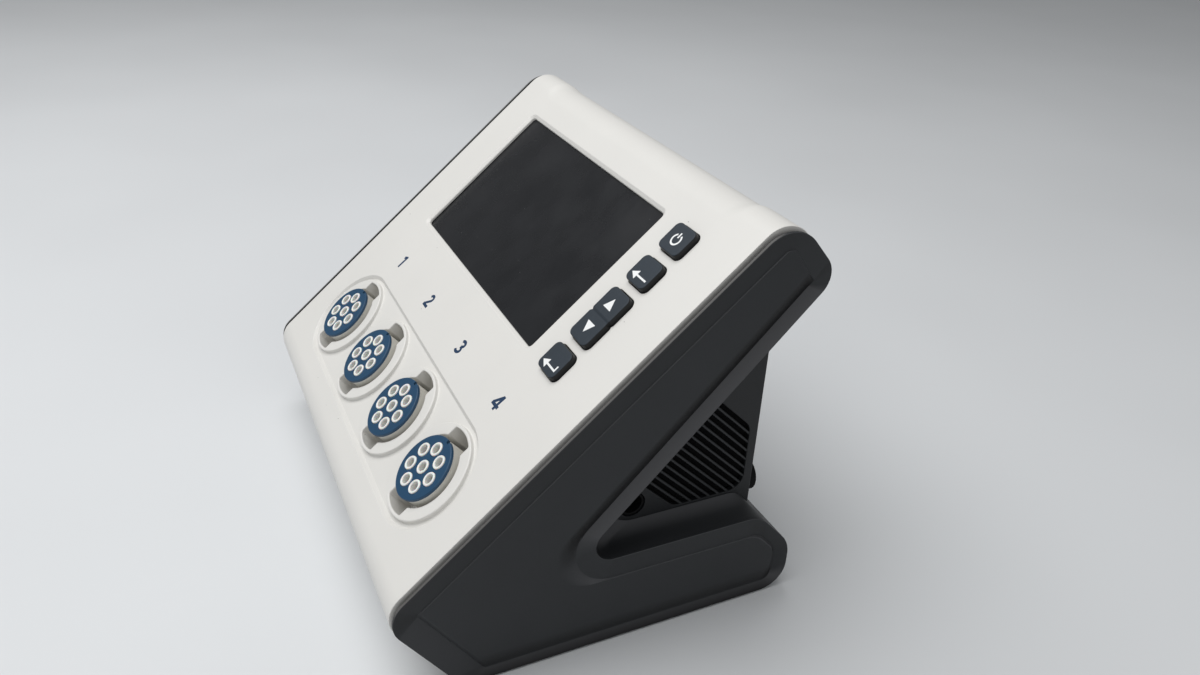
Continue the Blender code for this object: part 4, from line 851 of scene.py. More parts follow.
def key_slate():
    """Dark slate rubber with a soft bloom, and painted shade on its walls."""
    constants = {"Sheen_Weight": 0.06, "Sheen_Roughness": 0.5, "Specular_IOR_Level": 0.35}
    material, tree, shader, tone = moulded("key_slate", **constants)
    bloom = between(tree, noise(tree, 0.0035, 4.0), 0.0, 0.25, 0.5, 0.8)
    # Painted shade: faces that turn from the panel's outward direction, the key walls, are made almost
    # black.
    walls = between(tree, facing(tree, PANEL_DIRECTION), 1.0, 0.0, 0.5, 0.9)
    top = mixed(tree, bloom, tone, (0.032, 0.046, 0.060))
    drive(tree, shader, Base_Color=mixed(tree, walls, top, shade(MOULDED["key_slate"][0], 0.06)))
    return material


def key_print():
    return moulded("key_print")[0]


def number_print():
    return moulded("number_print")[0]


def outlet_blue():
    return moulded("outlet_blue")[0]


def sleeve_grey():
    return moulded("sleeve_grey")[0]


def tube_white():
    """Milky tube plastic that lets a little light through."""
    return moulded("tube_white", Subsurface_Weight=0.15, Subsurface_Scale=0.001)[0]


def socket_black():
    return moulded("socket_black", Specular_IOR_Level=0.15)[0]


def foot_rubber():
    return moulded("foot_rubber")[0]


def brushed_metal(name, colour, roughness):
    """Sheet or turned metal with fine lines and slight tarnish."""
    material, tree, shader = start_finish(name, colour, Metallic=1.0)
    lines = noise(tree, 0.0006, 3.0, (1.0, 12.0, 1.0))
    stain = noise(tree, 0.012, 4.0)
    tone = mixed(tree, between(tree, stain, 0.0, 1.0), shade(colour, 0.85), colour)
    drive(tree, shader, Base_Color=tone, Roughness=between(tree, lines, roughness - 0.06, roughness + 0.10))
    add_bumps(tree, shader, (lines, 0.000004))
    return material


def board_green():
    """Solder mask over copper tracks."""
    colour = (0.012, 0.105, 0.045)
    material, tree, shader = start_finish("board_green", colour)
    tracks = between(tree, noise(tree, 0.0030, 1.0, (1.0, 4.0, 1.0)), 0.0, 1.0, 0.52, 0.56)
    tone = mixed(tree, tracks, colour, shade(colour, 1.7))
    drive(tree, shader, Base_Color=tone, Roughness=between(tree, tracks, 0.35, 0.5, 0.0, 1.0))
    add_bumps(tree, shader, (tracks, 0.00003))
    return material


def hose_milk():
    return moulded("hose_milk", Subsurface_Weight=0.2, Subsurface_Scale=0.002)[0]


def filter_foam():
    """Open black foam."""
    colour = (0.0025, 0.0025, 0.0028)
    material, tree, shader = start_finish("filter_foam", colour, Specular_IOR_Level=0.1)
    pores = between(tree, cells(tree, 0.0011)[0], 0.0, 1.0, 0.1, 0.6)
    tone = mixed(tree, pores, shade(colour, 0.3), shade(colour, 1.5))
    drive(tree, shader, Base_Color=tone, Roughness=between(tree, pores, 0.85, 0.98, 0.0, 1.0))
    add_bumps(tree, shader, (pores, 0.0003))
    return material


def floor_pale():
    """Plain pale table with a soft, slightly uneven tone."""
    colour = (0.640, 0.655, 0.668)
    material, tree, shader = start_finish("floor_pale", colour)
    slow = noise(tree, 0.35, 2.0)
    tone = mixed(tree, between(tree, slow, 0.0, 1.0), shade(colour, 0.975), shade(colour, 1.02))
    drive(tree, shader, Base_Color=tone, Roughness=between(tree, slow, 0.65, 0.75))
    return material


# Growing what repeats


def new_tree(name, inputs):
    """A geometry tree with named inputs, its first node and its last."""
    tree = bpy.data.node_groups.new(name, "GeometryNodeTree")
    tree.interface.new_socket("Geometry", in_out="OUTPUT", socket_type="NodeSocketGeometry")
    for label, kind in inputs:
        tree.interface.new_socket(label, in_out="INPUT", socket_type=f"NodeSocket{kind}")
    given = tree.nodes.new("NodeGroupInput")
    return tree, given.outputs, tree.nodes.new("NodeGroupOutput")


def join_sockets(tree, *pairs):
    for source, target in pairs:
        tree.links.new(source, target)


def shape_of(tree, source):
    """The mesh of an object that is one of the tree's inputs."""
    node = tree.nodes.new("GeometryNodeObjectInfo")
    tree.links.new(source, node.inputs["Object"])
    return node.outputs["Geometry"]


def spread(tree, points, shape):
    """A copy of a shape on each point, as real mesh."""
    copies = tree.nodes.new("GeometryNodeInstanceOnPoints")
    real = tree.nodes.new("GeometryNodeRealizeInstances")
    join_sockets(
        tree,
        (points, copies.inputs["Points"]),
        (shape, copies.inputs["Instance"]),
        (copies.outputs["Instances"], real.inputs["Geometry"]),
    )
    return real.outputs["Geometry"]


def at(tree, **axes):
    """A vector with the given axes."""
    node = tree.nodes.new("ShaderNodeCombineXYZ")
    for axis, source in axes.items():
        tree.links.new(source, node.inputs[axis.upper()])
    return node.outputs["Vector"]


def centred_row(tree, count, pitch):
    """Points along x at one pitch, centred on the origin."""
    line = tree.nodes.new("GeometryNodeMeshLine")
    line.mode = "OFFSET"
    span = number(tree, "MULTIPLY", number(tree, "SUBTRACT", count, 1), pitch)
    join_sockets(
        tree,
        (count, line.inputs["Count"]),
        (at(tree, x=number(tree, "MULTIPLY", span, -0.5)), line.inputs["Start Location"]),
        (at(tree, x=pitch), line.inputs["Offset"]),
    )
    return line.outputs["Mesh"]


def ring_and_centre(tree, count, radius):
    """Points on a circle, the first at +x, and one in the middle."""
    ring = tree.nodes.new("GeometryNodeMeshCircle")
    middle = tree.nodes.new("GeometryNodeMeshLine")
    middle.inputs["Count"].default_value = 1
    both = tree.nodes.new("GeometryNodeJoinGeometry")
    join_sockets(
        tree,
        (count, ring.inputs["Vertices"]),
        (radius, ring.inputs["Radius"]),
        (ring.outputs["Mesh"], both.inputs["Geometry"]),
        (middle.outputs["Mesh"], both.inputs["Geometry"]),
    )
    return both.outputs["Geometry"]


def shape_boolean(tree, operation, first, second):
    node = tree.nodes.new("GeometryNodeMeshBoolean")
    node.operation = operation
    node.solver = "EXACT"
    if operation == "DIFFERENCE":
        join_sockets(tree, (first, node.inputs["Mesh 1"]), (second, node.inputs["Mesh 2"]))
    else:
        join_sockets(tree, (first, node.inputs["Mesh 2"]), (second, node.inputs["Mesh 2"]))
    return node.outputs["Mesh"]


def end_tree(tree, shape, finish, end):
    """Realize what is left and give it its material."""
    real = tree.nodes.new("GeometryNodeRealizeInstances")
    painted = tree.nodes.new("GeometryNodeSetMaterial")
    join_sockets(
        tree,
        (shape, real.inputs["Geometry"]),
        (real.outputs["Geometry"], painted.inputs["Geometry"]),
        (finish, painted.inputs["Material"]),
        (painted.outputs["Geometry"], end.inputs["Geometry"]),
    )
    return tree


def outlet_row_tree():
    """One turned shape at each outlet of the row."""
    inputs = (("Shape", "Object"), ("Outlets", "Int"), ("Pitch", "Float"), ("Finish", "Material"))
    tree, given, end = new_tree("outlet_row", inputs)
    row = centred_row(tree, given["Outlets"], given["Pitch"])
    return end_tree(tree, spread(tree, row, shape_of(tree, given["Shape"])), given["Finish"], end)


def drilled_row_tree(name, standing):
    """A row of a shape drilled at a ring of places and its middle, where tubes stand if wanted."""
    inputs = [("Shape", "Object"), ("Drill", "Object"), ("Holes on ring", "Int"), ("Ring radius", "Float")]
    inputs += [("Outlets", "Int"), ("Pitch", "Float"), ("Finish", "Material")]
    if standing:
        inputs.append(("Tube", "Object"))
    tree, given, end = new_tree(name, inputs)
    places = ring_and_centre(tree, given["Holes on ring"], given["Ring radius"])
    shape = shape_of(tree, given["Shape"])
    if standing:
        tubes = spread(tree, places, shape_of(tree, given["Tube"]))
        shape = shape_boolean(tree, "UNION", shape, tubes)
    drilled = shape_boolean(tree, "DIFFERENCE", shape, spread(tree, places, shape_of(tree, given["Drill"])))
    row = centred_row(tree, given["Outlets"], given["Pitch"])
    return end_tree(tree, spread(tree, row, drilled), given["Finish"], end)


def slats_tree():
    """Bars at one pitch up the grille, kept inside its field."""
    inputs = (("Bar", "Object"), ("Field", "Object"), ("Bars", "Int"), ("Pitch", "Float"))
    tree, given, end = new_tree("grille_slats", inputs + (("First bar", "Float"), ("Finish", "Material")))
    line = tree.nodes.new("GeometryNodeMeshLine")
    line.mode = "OFFSET"
    join_sockets(
        tree,
        (given["Bars"], line.inputs["Count"]),
        (at(tree, x=given["First bar"]), line.inputs["Start Location"]),
        (at(tree, x=given["Pitch"]), line.inputs["Offset"]),
    )
    bars = spread(tree, line.outputs["Mesh"], shape_of(tree, given["Bar"]))
    kept = shape_boolean(tree, "INTERSECT", bars, shape_of(tree, given["Field"]))
    return end_tree(tree, kept, given["Finish"], end)


def four_corners_tree():
    """One shape at each corner of the base."""
    inputs = (("Shape", "Object"), ("Half width", "Float"), ("Front", "Float"), ("Rear", "Float"))
    tree, given, end = new_tree("four_corners", inputs + (("Finish", "Material"),))
    grid = tree.nodes.new("GeometryNodeMeshGrid")
    grid.inputs["Vertices X"].default_value = 2
    grid.inputs["Vertices Y"].default_value = 2
    moved = tree.nodes.new("GeometryNodeTransform")
    middle = number(tree, "MULTIPLY", number(tree, "ADD", given["Front"], given["Rear"]), 0.5)
    join_sockets(
        tree,
        (number(tree, "MULTIPLY", given["Half width"], 2), grid.inputs["Size X"]),
        (number(tree, "SUBTRACT", given["Rear"], given["Front"]), grid.inputs["Size Y"]),
        (grid.outputs["Mesh"], moved.inputs["Geometry"]),
        (at(tree, y=middle), moved.inputs["Translation"]),
    )
    spots = spread(tree, moved.outputs["Geometry"], shape_of(tree, given["Shape"]))
    return end_tree(tree, spots, given["Finish"], end)


def pattern(mesh):
    """A shape for a tree to copy, as an object that is removed once it has been used."""
    item = bpy.data.objects.new("pattern", mesh)
    bpy.context.scene.collection.objects.link(item)
    return item


def grow(name, tree, matrix, **values):
    """Run a tree with these inputs and keep the result as a plain mesh in its place."""
    item = bpy.data.objects.new(name, bpy.data.meshes.new(name))
    bpy.context.scene.collection.objects.link(item)
    modifier = item.modifiers.new("grow", "NODES")
    modifier.node_group = tree
    for socket in tree.interface.items_tree:
        if socket.in_out == "INPUT":
            modifier[socket.identifier] = values[socket.name.replace(" ", "_").lower()]
    settle(item)
    tidy(item.data, flip_check=False)
    item.data.transform(matrix)
    for value in values.values():
        if isinstance(value, bpy.types.Object):
            bpy.data.objects.remove(value, do_unlink=True)
    return item


# Casing


def field_ring(side, share):
    """One ring of the raised field: from the valley at its foot, deep along the soft sides, to its top."""
    corners = inset(cheek_corners(), VALLEY_BORDERS)
    corners = [(corner[0], corner[1], radius) for corner, radius in zip(corners, VALLEY_RADII)]
    points = rounded(inset(corners, [width * share for width in SHOULDER_WIDTHS]), even=True)
    ring = []
    for index, point in enumerate(points):
        corner, step = divmod(index, CORNER_STEPS + 1)
        turned_by = step / CORNER_STEPS
        valley = VALLEY_DEPTHS[corner - 1] * (1 - turned_by) + VALLEY_DEPTHS[corner] * turned_by
        risen = share ** SHOULDER_SKEW
        depth = FIELD_DEPTH + (valley - FIELD_DEPTH) * (1 - risen) ** 2 * (1 + 2 * risen)
        ring.append(Vector((side * (CHEEK_X - depth), point.x, point.y)))
    return ring


def cheek_sections():
    """Outlines of a cheek from its hollow out over the ledge and the rim."""
    body = inset(cheek_corners(), [RIM_DROP, 0.0, 0.0, 0.0, 0.0, 0.0, 0.0, RIM_DROP])
    hollow = rounded(core_corners(depth=WALL), even=True)
    sections = [(CHEEK_X - BORDER_DEPTH - CHEEK_FACE, hollow), (CHEEK_INNER_X, hollow)]
    for step in range(LEDGE_STEPS + 1):
        share = (step / LEDGE_STEPS) ** LEDGE_SPACING
        x = CHEEK_INNER_X + (GROOVE_X - CHEEK_INNER_X) * share
        rise = LEDGE_RISE * (1 - share) ** LEDGE_POWER
        sections.append((x, rounded(core_corners(rise=rise), even=True)))
    turns = quarter_turn()
    rim = [(GROOVE_X + RIM_ROUND * (1 - cosine) * RIM_FOOT_SHARE, 1 - sine) for sine, cosine in turns]
    rim += [(CHEEK_X - RIM_ROUND * (1 - sine), 1 - cosine) for sine, cosine in turns]
    sections += [(x, rounded(inset_evenly(body, RIM_ROUND * share), even=True)) for x, share in rim]
    return sections


def make_cheek(name, side, finish):
    """One side shell: a V-shaped pan, open inwards, with a raised field on its outer face."""
    rings = [side_ring(side * x, points) for x, points in cheek_sections()]
    rings += [field_ring(side, step / SHOULDER_STEPS) for step in range(SHOULDER_STEPS + 1)]
    cheek = new_piece(name, loft(rings), finish)
    return hand_over(cheek, "casing", "dark_grey_abs", name)


def cover_path(depth, top_radius):
    """The cover's line from its rear end over the top and the panel to the chin's foot."""
    outer = [Vector(corner[:2]) for corner in body_corners()]
    chin, foot, arm_end, top = outer[0], outer[1], outer[6], outer[7]
    corners = inset_evenly(body_corners(top_radius), depth)
    places = [Vector(corner[:2]) for corner in corners]
    half = (outer[5] - arm_end).angle(top - arm_end) / 2
    end = arm_end + (top - arm_end).normalized() * (ARM_END_RADIUS / math.tan(half))
    end -= UP_SLOPE * depth
    down_chin = (foot - chin).normalized()
    start = foot - down_chin * COVER_FOOT_CLEAR + Vector((-down_chin.y, down_chin.x)) * depth
    over_top = arc_at(places[6], places[7], places[0], corners[7][2], CORNER_STEPS + 2)
    over_chin = arc_at(places[7], places[0], places[1], corners[0][2], CORNER_STEPS + 2)
    return [end] + over_top + over_chin + [start]


def cover_section(depth, thickness, top_radius):
    """The shell's outline at one x, with its two free edges rounded."""
    outer = cover_path(depth, top_radius)
    inner = cover_path(thickness, top_radius)
    rear_edge = arc_at(inner[0], outer[0], outer[1], EDGE_ROUND, ROUND_STEPS)
    foot_edge = arc_at(outer[-2], outer[-1], inner[-1], EDGE_ROUND, ROUND_STEPS)
    return rear_edge + outer[1:-1] + foot_edge + inner[::-1]


def cover_stations():
    """Half the cover's stations, from its side edge to the grip's deepest stretch."""
    stations = []
    for sine, cosine in quarter_turn():
        x = COVER_HALF_WIDTH - EDGE_ROUND * (1 - cosine)
        stations.append((x, EDGE_ROUND * (1 - sine), COVER_LIP, COVER_TOP_RADIUS))
    lip_x = COVER_HALF_WIDTH - COVER_WALL
    stations.append((lip_x, 0.0, COVER_LIP, COVER_TOP_RADIUS))
    stations.append((lip_x - LIP_DRAFT, 0.0, COVER_WALL, COVER_TOP_RADIUS))
    for step in range(GRIP_STEPS + 1):
        share = step / GRIP_STEPS
        x = GRIP_HALF_WIDTH + GRIP_BLEND * (1 - share)
        blend = 3 * share ** 2 - 2 * share ** 3
        radius = COVER_TOP_RADIUS + (GRIP_RADIUS - COVER_TOP_RADIUS) * blend
        stations.append((x, 0.0, COVER_WALL, radius))
    return stations


def tray_outline(margin):
    """A stadium round the row of outlets."""
    reach = OUTLET_X[-1]
    radius = TRAY_RADIUS + margin
    points = []
    for middle, centre in ((0.0, reach), (math.pi, -reach)):
        for step in range(TRAY_STEPS + 1):
            turn = middle - math.pi / 2 + math.pi * step / TRAY_STEPS
            points.append(Vector((centre + radius * math.cos(turn), radius * math.sin(turn))))
    return points


def well_outline(margin):
    """A round well with a finger notch above and below, its inner corners softened."""
    meet = math.sqrt(WELL_RADIUS ** 2 - NOTCH_HALF_WIDTH ** 2)
    tip = math.sqrt(NOTCH_RADIUS ** 2 - NOTCH_HALF_WIDTH ** 2)
    side_start = Vector((NOTCH_HALF_WIDTH, meet))
    side_end = Vector((NOTCH_HALF_WIDTH, tip))
    tangent = Vector((meet, -NOTCH_HALF_WIDTH)).normalized()
    crown = Vector((-tip, NOTCH_HALF_WIDTH)).normalized()
    quarter = []
    start_turn = math.asin((meet - NOTCH_ROUND * NOTCH_START_SHARE) / WELL_RADIUS)
    for step in range(CORNER_STEPS + 1):
        turn = start_turn * step / CORNER_STEPS
        quarter.append((WELL_RADIUS + margin) * Vector((math.cos(turn), math.sin(turn))))
    radius = max(NOTCH_ROUND - margin, SMALLEST_RADIUS)
    elbow = side_start + Vector((margin, 0.0)) + Vector((0.0, margin / tangent.x * (1 + tangent.y)))
    quarter += arc_at(elbow + tangent, elbow, elbow + Vector((0.0, 1.0)), radius, ROUND_STEPS)
    outer = side_end + Vector((margin, margin))
    quarter += arc_at(outer - Vector((0.0, 1.0)), outer, outer + crown, NOTCH_ROUND + margin, ROUND_STEPS)
    crown_turn = math.atan2(tip, NOTCH_HALF_WIDTH - NOTCH_ROUND)
    for step in range(1, ROUND_STEPS + 1):
        turn = crown_turn + (math.pi / 2 - crown_turn) * step / ROUND_STEPS
        quarter.append((NOTCH_RADIUS + margin) * Vector((math.cos(turn), math.sin(turn))))
    upper = quarter + [Vector((-point.x, point.y)) for point in quarter[-2::-1]]
    return upper + [Vector((point.x, -point.y)) for point in upper[-2:0:-1]]


def window_outline(margin):
    centre = (WINDOW_X, WINDOW_S)
    corners = rectangle_corners(WINDOW_WIDTH, WINDOW_HEIGHT, WINDOW_RADIUS, centre)
    return rounded(inset_evenly(corners, -margin), even=True)


def key_corners(height, waist):
    """A key seen square on, with the rocker's waist where it has one."""
    plain = rectangle_corners(KEY_WIDTH, height, KEY_RADIUS)
    if not waist:
        return plain
    across = KEY_WIDTH / 2
    half = ROCKER_WAIST_HALF
    right = [
        (across, -half, SMALLEST_RADIUS),
        (across - waist, 0.0, SMALLEST_RADIUS),
        (across, half, SMALLEST_RADIUS),
    ]
    left = [(-x, -y, radius) for x, y, radius in right]
    return plain[:2] + right + plain[2:] + left


def key_outline(height, waist, margin):
    return rounded(inset_evenly(key_corners(height, waist), -margin), steps=KEY_STEPS, even=True)


def sink_tray(cover):
    """The long recess round the outlets, with a backing behind the panel."""
    backing = slab(tray_outline(COVER_WALL), -TRAY_BACKING, GAP - COVER_WALL)
    carve(cover, [placed(backing, panel_matrix())], "UNION")
    recess = [
        (OVERRUN, 0.0, 0.0),
        (0.0, 0.0, TRAY_ROUND),
        (-TRAY_DRAFT, -TRAY_DEPTH, TRAY_ROUND),
        (-TRAY_DRAFT * TRAY_FLOOR_SHARE, -TRAY_DEPTH, 0.0),
    ]
    carve(cover, [placed(moulded_cut(recess, tray_outline), panel_matrix())])


def collar_profile():
    """Half the section of an outlet's collar and of the boss that its well is sunk in."""
    foot = softened(
        [
            (TRAY_RADIUS, -TRAY_DEPTH, 0.0),
            (COLLAR_RADIUS, -TRAY_DEPTH, COLLAR_FOOT),
            (COLLAR_RADIUS, COLLAR_HEIGHT, COLLAR_ROUND),
            (WELL_RADIUS / 2, COLLAR_HEIGHT, 0.0),
        ]
    )[2:-1]
    sunk = foot[0] + (foot[0] - foot[1]).normalized() * COLLAR_FOOT
    low = -WELL_DEPTH - WELL_FLOOR
    line = [tuple(point) for point in [sunk] + foot]
    return [(0.0, low), (sunk.x, low)] + line + [(0.0, COLLAR_HEIGHT)]


def sink_well(cover, place):
    """One outlet's collar, its well with two finger notches, and the hole in the well's floor."""
    carve(cover, [placed(turned(collar_profile()), place)], "UNION")
    well = [
        (OVERRUN, COLLAR_HEIGHT, 0.0),
        (0.0, COLLAR_HEIGHT, WELL_ROUND),
        (0.0, -WELL_DEPTH, WELL_ROUND),
        (-WELL_ROUND * WELL_FLOOR_SHARE, -WELL_DEPTH, 0.0),
    ]
    pocket = moulded_cut(well, well_outline)
    hole = slab(circle(SLEEVE_RADIUS + GAP), -WELL_DEPTH - WELL_FLOOR - OVERRUN, 0.0)
    carve(cover, [placed(pocket, place), placed(hole, place)])


def cut_openings(cover):
    """The window's bevelled opening and one opening for each key."""
    window = [
        (OVERRUN, 0.0, 0.0),
        (WINDOW_BEVEL, 0.0, WINDOW_ROUND),
        (0.0, -WINDOW_BEVEL_DEPTH, WINDOW_ROUND),
        (0.0, -OVERRUN, 0.0),
    ]
    carve(cover, [placed(moulded_cut(window, window_outline), panel_matrix())])
    opening = [(OVERRUN, 0.0, 0.0), (0.0, 0.0, KEY_OPENING_ROUND), (0.0, -OVERRUN, 0.0)]
    for _, _, s, height, waist in KEYS:
        cutter = moulded_cut(opening, lambda margin: key_outline(height, waist, margin + KEY_CLEARANCE))
        carve(cover, [placed(cutter, panel_matrix(KEY_X, s))])


def make_front_cover(finish):
    """The white shell, with side lips, window, key openings, sunk tray, collars and wells."""
    half = cover_stations()
    stations = [(-x, *section) for x, *section in half] + half[::-1]
    rings = [side_ring(x, cover_section(*section)) for x, *section in stations]
    cover = new_piece("front_cover", loft(rings), finish)
    sink_tray(cover)
    for x in OUTLET_X:
        sink_well(cover, panel_matrix(x))
    cut_openings(cover)
    return hand_over(cover, "casing", "off_white_abs", "front_cover")


def underside_height(y):
    """Height of the arm's underside line at one y."""
    corner = body_corners()[5]
    return corner[1] + (y - corner[0]) * math.tan(UNDERSIDE_SLOPE)


def grille_corners(margin=0.0):
    """The grille's opening in its own frame, a bar's half width inside its field at each end."""
    to_panel = grille_matrix().inverted()

    def local(y, z):
        point = to_panel @ Vector((0.0, y, z))
        return point.x, point.y

    half_bar = (GRILLE_LENGTH / SLOT_COUNT - SLOT_WIDTH) / 2
    start = GRILLE_START + half_bar
    end = GRILLE_START + GRILLE_LENGTH - half_bar
    corner = body_corners()[5]

    def below(along, stop_y=None, stop_z=None):
        place = Vector(corner[:2]) + UNDERSIDE * along
        reach = (stop_y - place.x) / BELOW_ARM.x if stop_y else (stop_z - place.y) / BELOW_ARM.y
        return along, reach

    corners = [
        (start, GRILLE_TOP_MARGIN, SMALLEST_RADIUS),
        (*below(start, stop_z=GRILLE_BOTTOM_Z), GRILLE_RADIUS),
        (*local(GRILLE_REAR_Y, GRILLE_BOTTOM_Z), GRILLE_RADIUS),
        (*below(end, stop_y=GRILLE_REAR_Y), GRILLE_RADIUS),
        (end, GRILLE_TOP_MARGIN, SMALLEST_RADIUS),
    ]
    corners = [(x, y, radius) for x, y, radius in reversed(corners)]
    return inset_evenly(corners, -margin)


def grille_outline(margin):
    return rounded(grille_corners(margin), even=True)


def make_rear_housing(finish):
    """The middle body: side walls with grille openings, rear wall, underside and end."""
    core = core_corners()
    chin, arm_end, top = core[0], core[6], core[7]
    chin_line_y = chin[0] + (chin[1] - SEAM_Z) / math.tan(CHIN_SLOPE)
    outline = [
        (chin_line_y, SEAM_Z, SMALLEST_RADIUS),
        (REAR_WALL_Y, SEAM_Z, SMALLEST_RADIUS),
        (REAR_WALL_Y, underside_height(REAR_WALL_Y), SMALLEST_RADIUS),
        arm_end,
        top,
        chin,
    ]
    hollow = inset(outline, [-OVERRUN, WALL, WALL, WALL, -OVERRUN, -OVERRUN])
    housing = new_piece("rear_housing", soft_prism(outline, MIDDLE_HALF_WIDTH, HOUSING_ROUND), finish)
    half = MIDDLE_HALF_WIDTH - WALL
    carve(housing, [side_prism(rounded(hollow), -half, half)])
    edge = [(OVERRUN, 0.0, 0.0), (0.0, 0.0, GRILLE_ROUND), (0.0, -OVERRUN, 0.0)]
    for side in (-1, 1):
        to_wall = Matrix.Translation((0.0, 0.0, -side * MIDDLE_HALF_WIDTH))
        cutter = placed(moulded_cut(edge, grille_outline), to_wall @ Matrix.Diagonal((1, 1, -side, 1)))
        carve(housing, [tidy(placed(cutter, grille_matrix()))])
    port = slab(circle(PORT_RADIUS), -OVERRUN, OVERRUN)
    inlet = slab(circle(INLET_NECK_RADIUS + GAP), -OVERRUN, OVERRUN)
    carve(housing, [placed(port, along_x(MIDDLE_HALF_WIDTH, PORT_Y, PORT_Z))])
    carve(housing, [placed(inlet, along_y(INLET_X, REAR_WALL_Y, INLET_Z))])
    return hand_over(housing, "casing", "dark_grey_abs", "rear_housing")


def make_slats(finish):
    """The bars of both grilles, a little below the wall's face."""
    pitch = GRILLE_LENGTH / SLOT_COUNT
    bar_width = pitch - SLOT_WIDTH
    bar_depth = WALL - 2 * SLAT_SUNK
    section = rounded(rectangle_corners(bar_width, bar_depth, SLAT_ROUND), steps=3)
    reach = max(corner[1] for corner in grille_corners()) + OVERRUN
    tree = slats_tree()
    parts = []
    for side in (1, -1):
        middle = -side * (MIDDLE_HALF_WIDTH - WALL / 2)
        low = middle - WALL / 2
        bar = loft([[Vector((point.x, y, middle + point.y)) for point in section] for y in (0.0, reach)])
        field = slab(grille_outline(SLAT_ANCHOR), low, low + WALL)
        parts.append(
            grow(
                "slats",
                tree,
                grille_matrix(),
                bar=pattern(bar),
                field=pattern(field),
                bars=SLOT_COUNT - 1,
                pitch=pitch,
                first_bar=GRILLE_START + pitch,
                finish=finish,
            )
        )
    slats = joined("grille_slats", parts)
    return hand_over(slats, "casing", "dark_grey_abs")


def joined(name, parts):
    """Several pieces as one mesh."""
    work = bmesh.new()
    for part in parts:
        work.from_mesh(part.data)
    finish = parts[0].data.materials[0]
    for part in parts:
        bpy.data.objects.remove(part, do_unlink=True)
    mesh = bpy.data.meshes.new(name)
    work.to_mesh(mesh)
    work.free()
    return new_piece(name, mesh, finish)


def make_base_tray(finish):
    """The tub under the works, with a hump behind the rear wall, screw bosses and foot pockets."""
    chin, front_foot, rear_foot, nose = core_corners()[:4]
    rim_z = SEAM_Z - GAP
    behind_wall = REAR_WALL_Y + GAP
    outline = [
        (chin[0] + (chin[1] - rim_z) / math.tan(CHIN_SLOPE), rim_z, SMALLEST_RADIUS),
        front_foot,
        rear_foot,
        nose,
        (behind_wall, BASE_NOSE_Z + (BASE_REAR_Y - behind_wall) * math.tan(BASE_SLOPE), SMALLEST_RADIUS),
        (behind_wall, rim_z, SMALLEST_RADIUS),
    ]
    inner = inset_evenly(outline, WALL)
    ceiling_z = rim_z - WALL
    slope_y = inner[4][0] + (inner[4][1] - ceiling_z) / math.tan(BASE_SLOPE)
    above = SEAM_Z + OVERRUN
    hollow = [
        (inner[0][0] - (above - inner[0][1]) / math.tan(CHIN_SLOPE), above, SMALLEST_RADIUS),
        inner[1],
        inner[2],
        inner[3],
        (slope_y, ceiling_z, SMALLEST_RADIUS),
        (behind_wall - WALL, ceiling_z, SMALLEST_RADIUS),
        (behind_wall - WALL, above, SMALLEST_RADIUS),
    ]
    tray = new_piece("base_tray", soft_prism(outline, MIDDLE_HALF_WIDTH, HOUSING_ROUND), finish)
    half = MIDDLE_HALF_WIDTH - WALL
    carve(tray, [side_prism(rounded(hollow), -half, half)])
    head_top = SHELL_BOTTOM_Z + SCREW_HEAD_SUNK + SCREW_HEAD_HEIGHT + GAP
    for side in (-1, 1):
        for y in (FRONT_FOOT_Y, REAR_FOOT_Y):
            spot = Matrix.Translation((side * SCREW_X, y, 0.0))
            boss = rod(SCREW_BOSS_RADIUS, SHELL_BOTTOM_Z + WALL / 2, SCREW_BOSS_TOP_Z)
            carve(tray, [placed(boss, spot)], "UNION")
            sink = rod(SCREW_HEAD_RADIUS + GAP, -OVERRUN, head_top)
            hole = rod(SCREW_RADIUS + GAP, -OVERRUN, SCREW_BOSS_TOP_Z + OVERRUN)
            pocket = rod(FOOT_RADIUS + GAP, -OVERRUN, FOOT_HEIGHT + GAP)
            foot_spot = Matrix.Translation((side * FOOT_X, y, 0.0))
            carve(tray, [placed(sink, spot), placed(hole, spot), placed(pocket, foot_spot)])
    return hand_over(tray, "casing", "dark_grey_abs", "base_tray")

# Display, keys and marks


def make_window(finish):
    size = (WINDOW_WIDTH + 2 * LENS_MARGIN, WINDOW_HEIGHT + 2 * LENS_MARGIN)
    outline = rounded(rectangle_corners(*size, WINDOW_RADIUS, (WINDOW_X, WINDOW_S)))
    high = -COVER_WALL - GAP
    mesh = slab(outline, high - LENS_THICKNESS, high)
    window = new_piece("display_lens", placed(mesh, panel_matrix()), finish)
    return hand_over(window, "casing", "display_glass", "display_lens")


def rocker_groove():
    """Section of the shallow groove across the rocker's middle."""
    line = [
        (-KEY_HEIGHT, KEY_PROUD, 0.0),
        (-ROCKER_WAIST_HALF, KEY_PROUD, GROOVE_ROUND),
        (0.0, KEY_PROUD - GROOVE_DEPTH, GROOVE_ROUND),
        (ROCKER_WAIST_HALF, KEY_PROUD, GROOVE_ROUND),
        (KEY_HEIGHT, KEY_PROUD, 0.0),
    ]
    groove = [tuple(point) for point in softened(line)[2:-2]]
    above = KEY_PROUD + OVERRUN
    return [(-GROOVE_REACH, above)] + groove + [(GROOVE_REACH, above)]


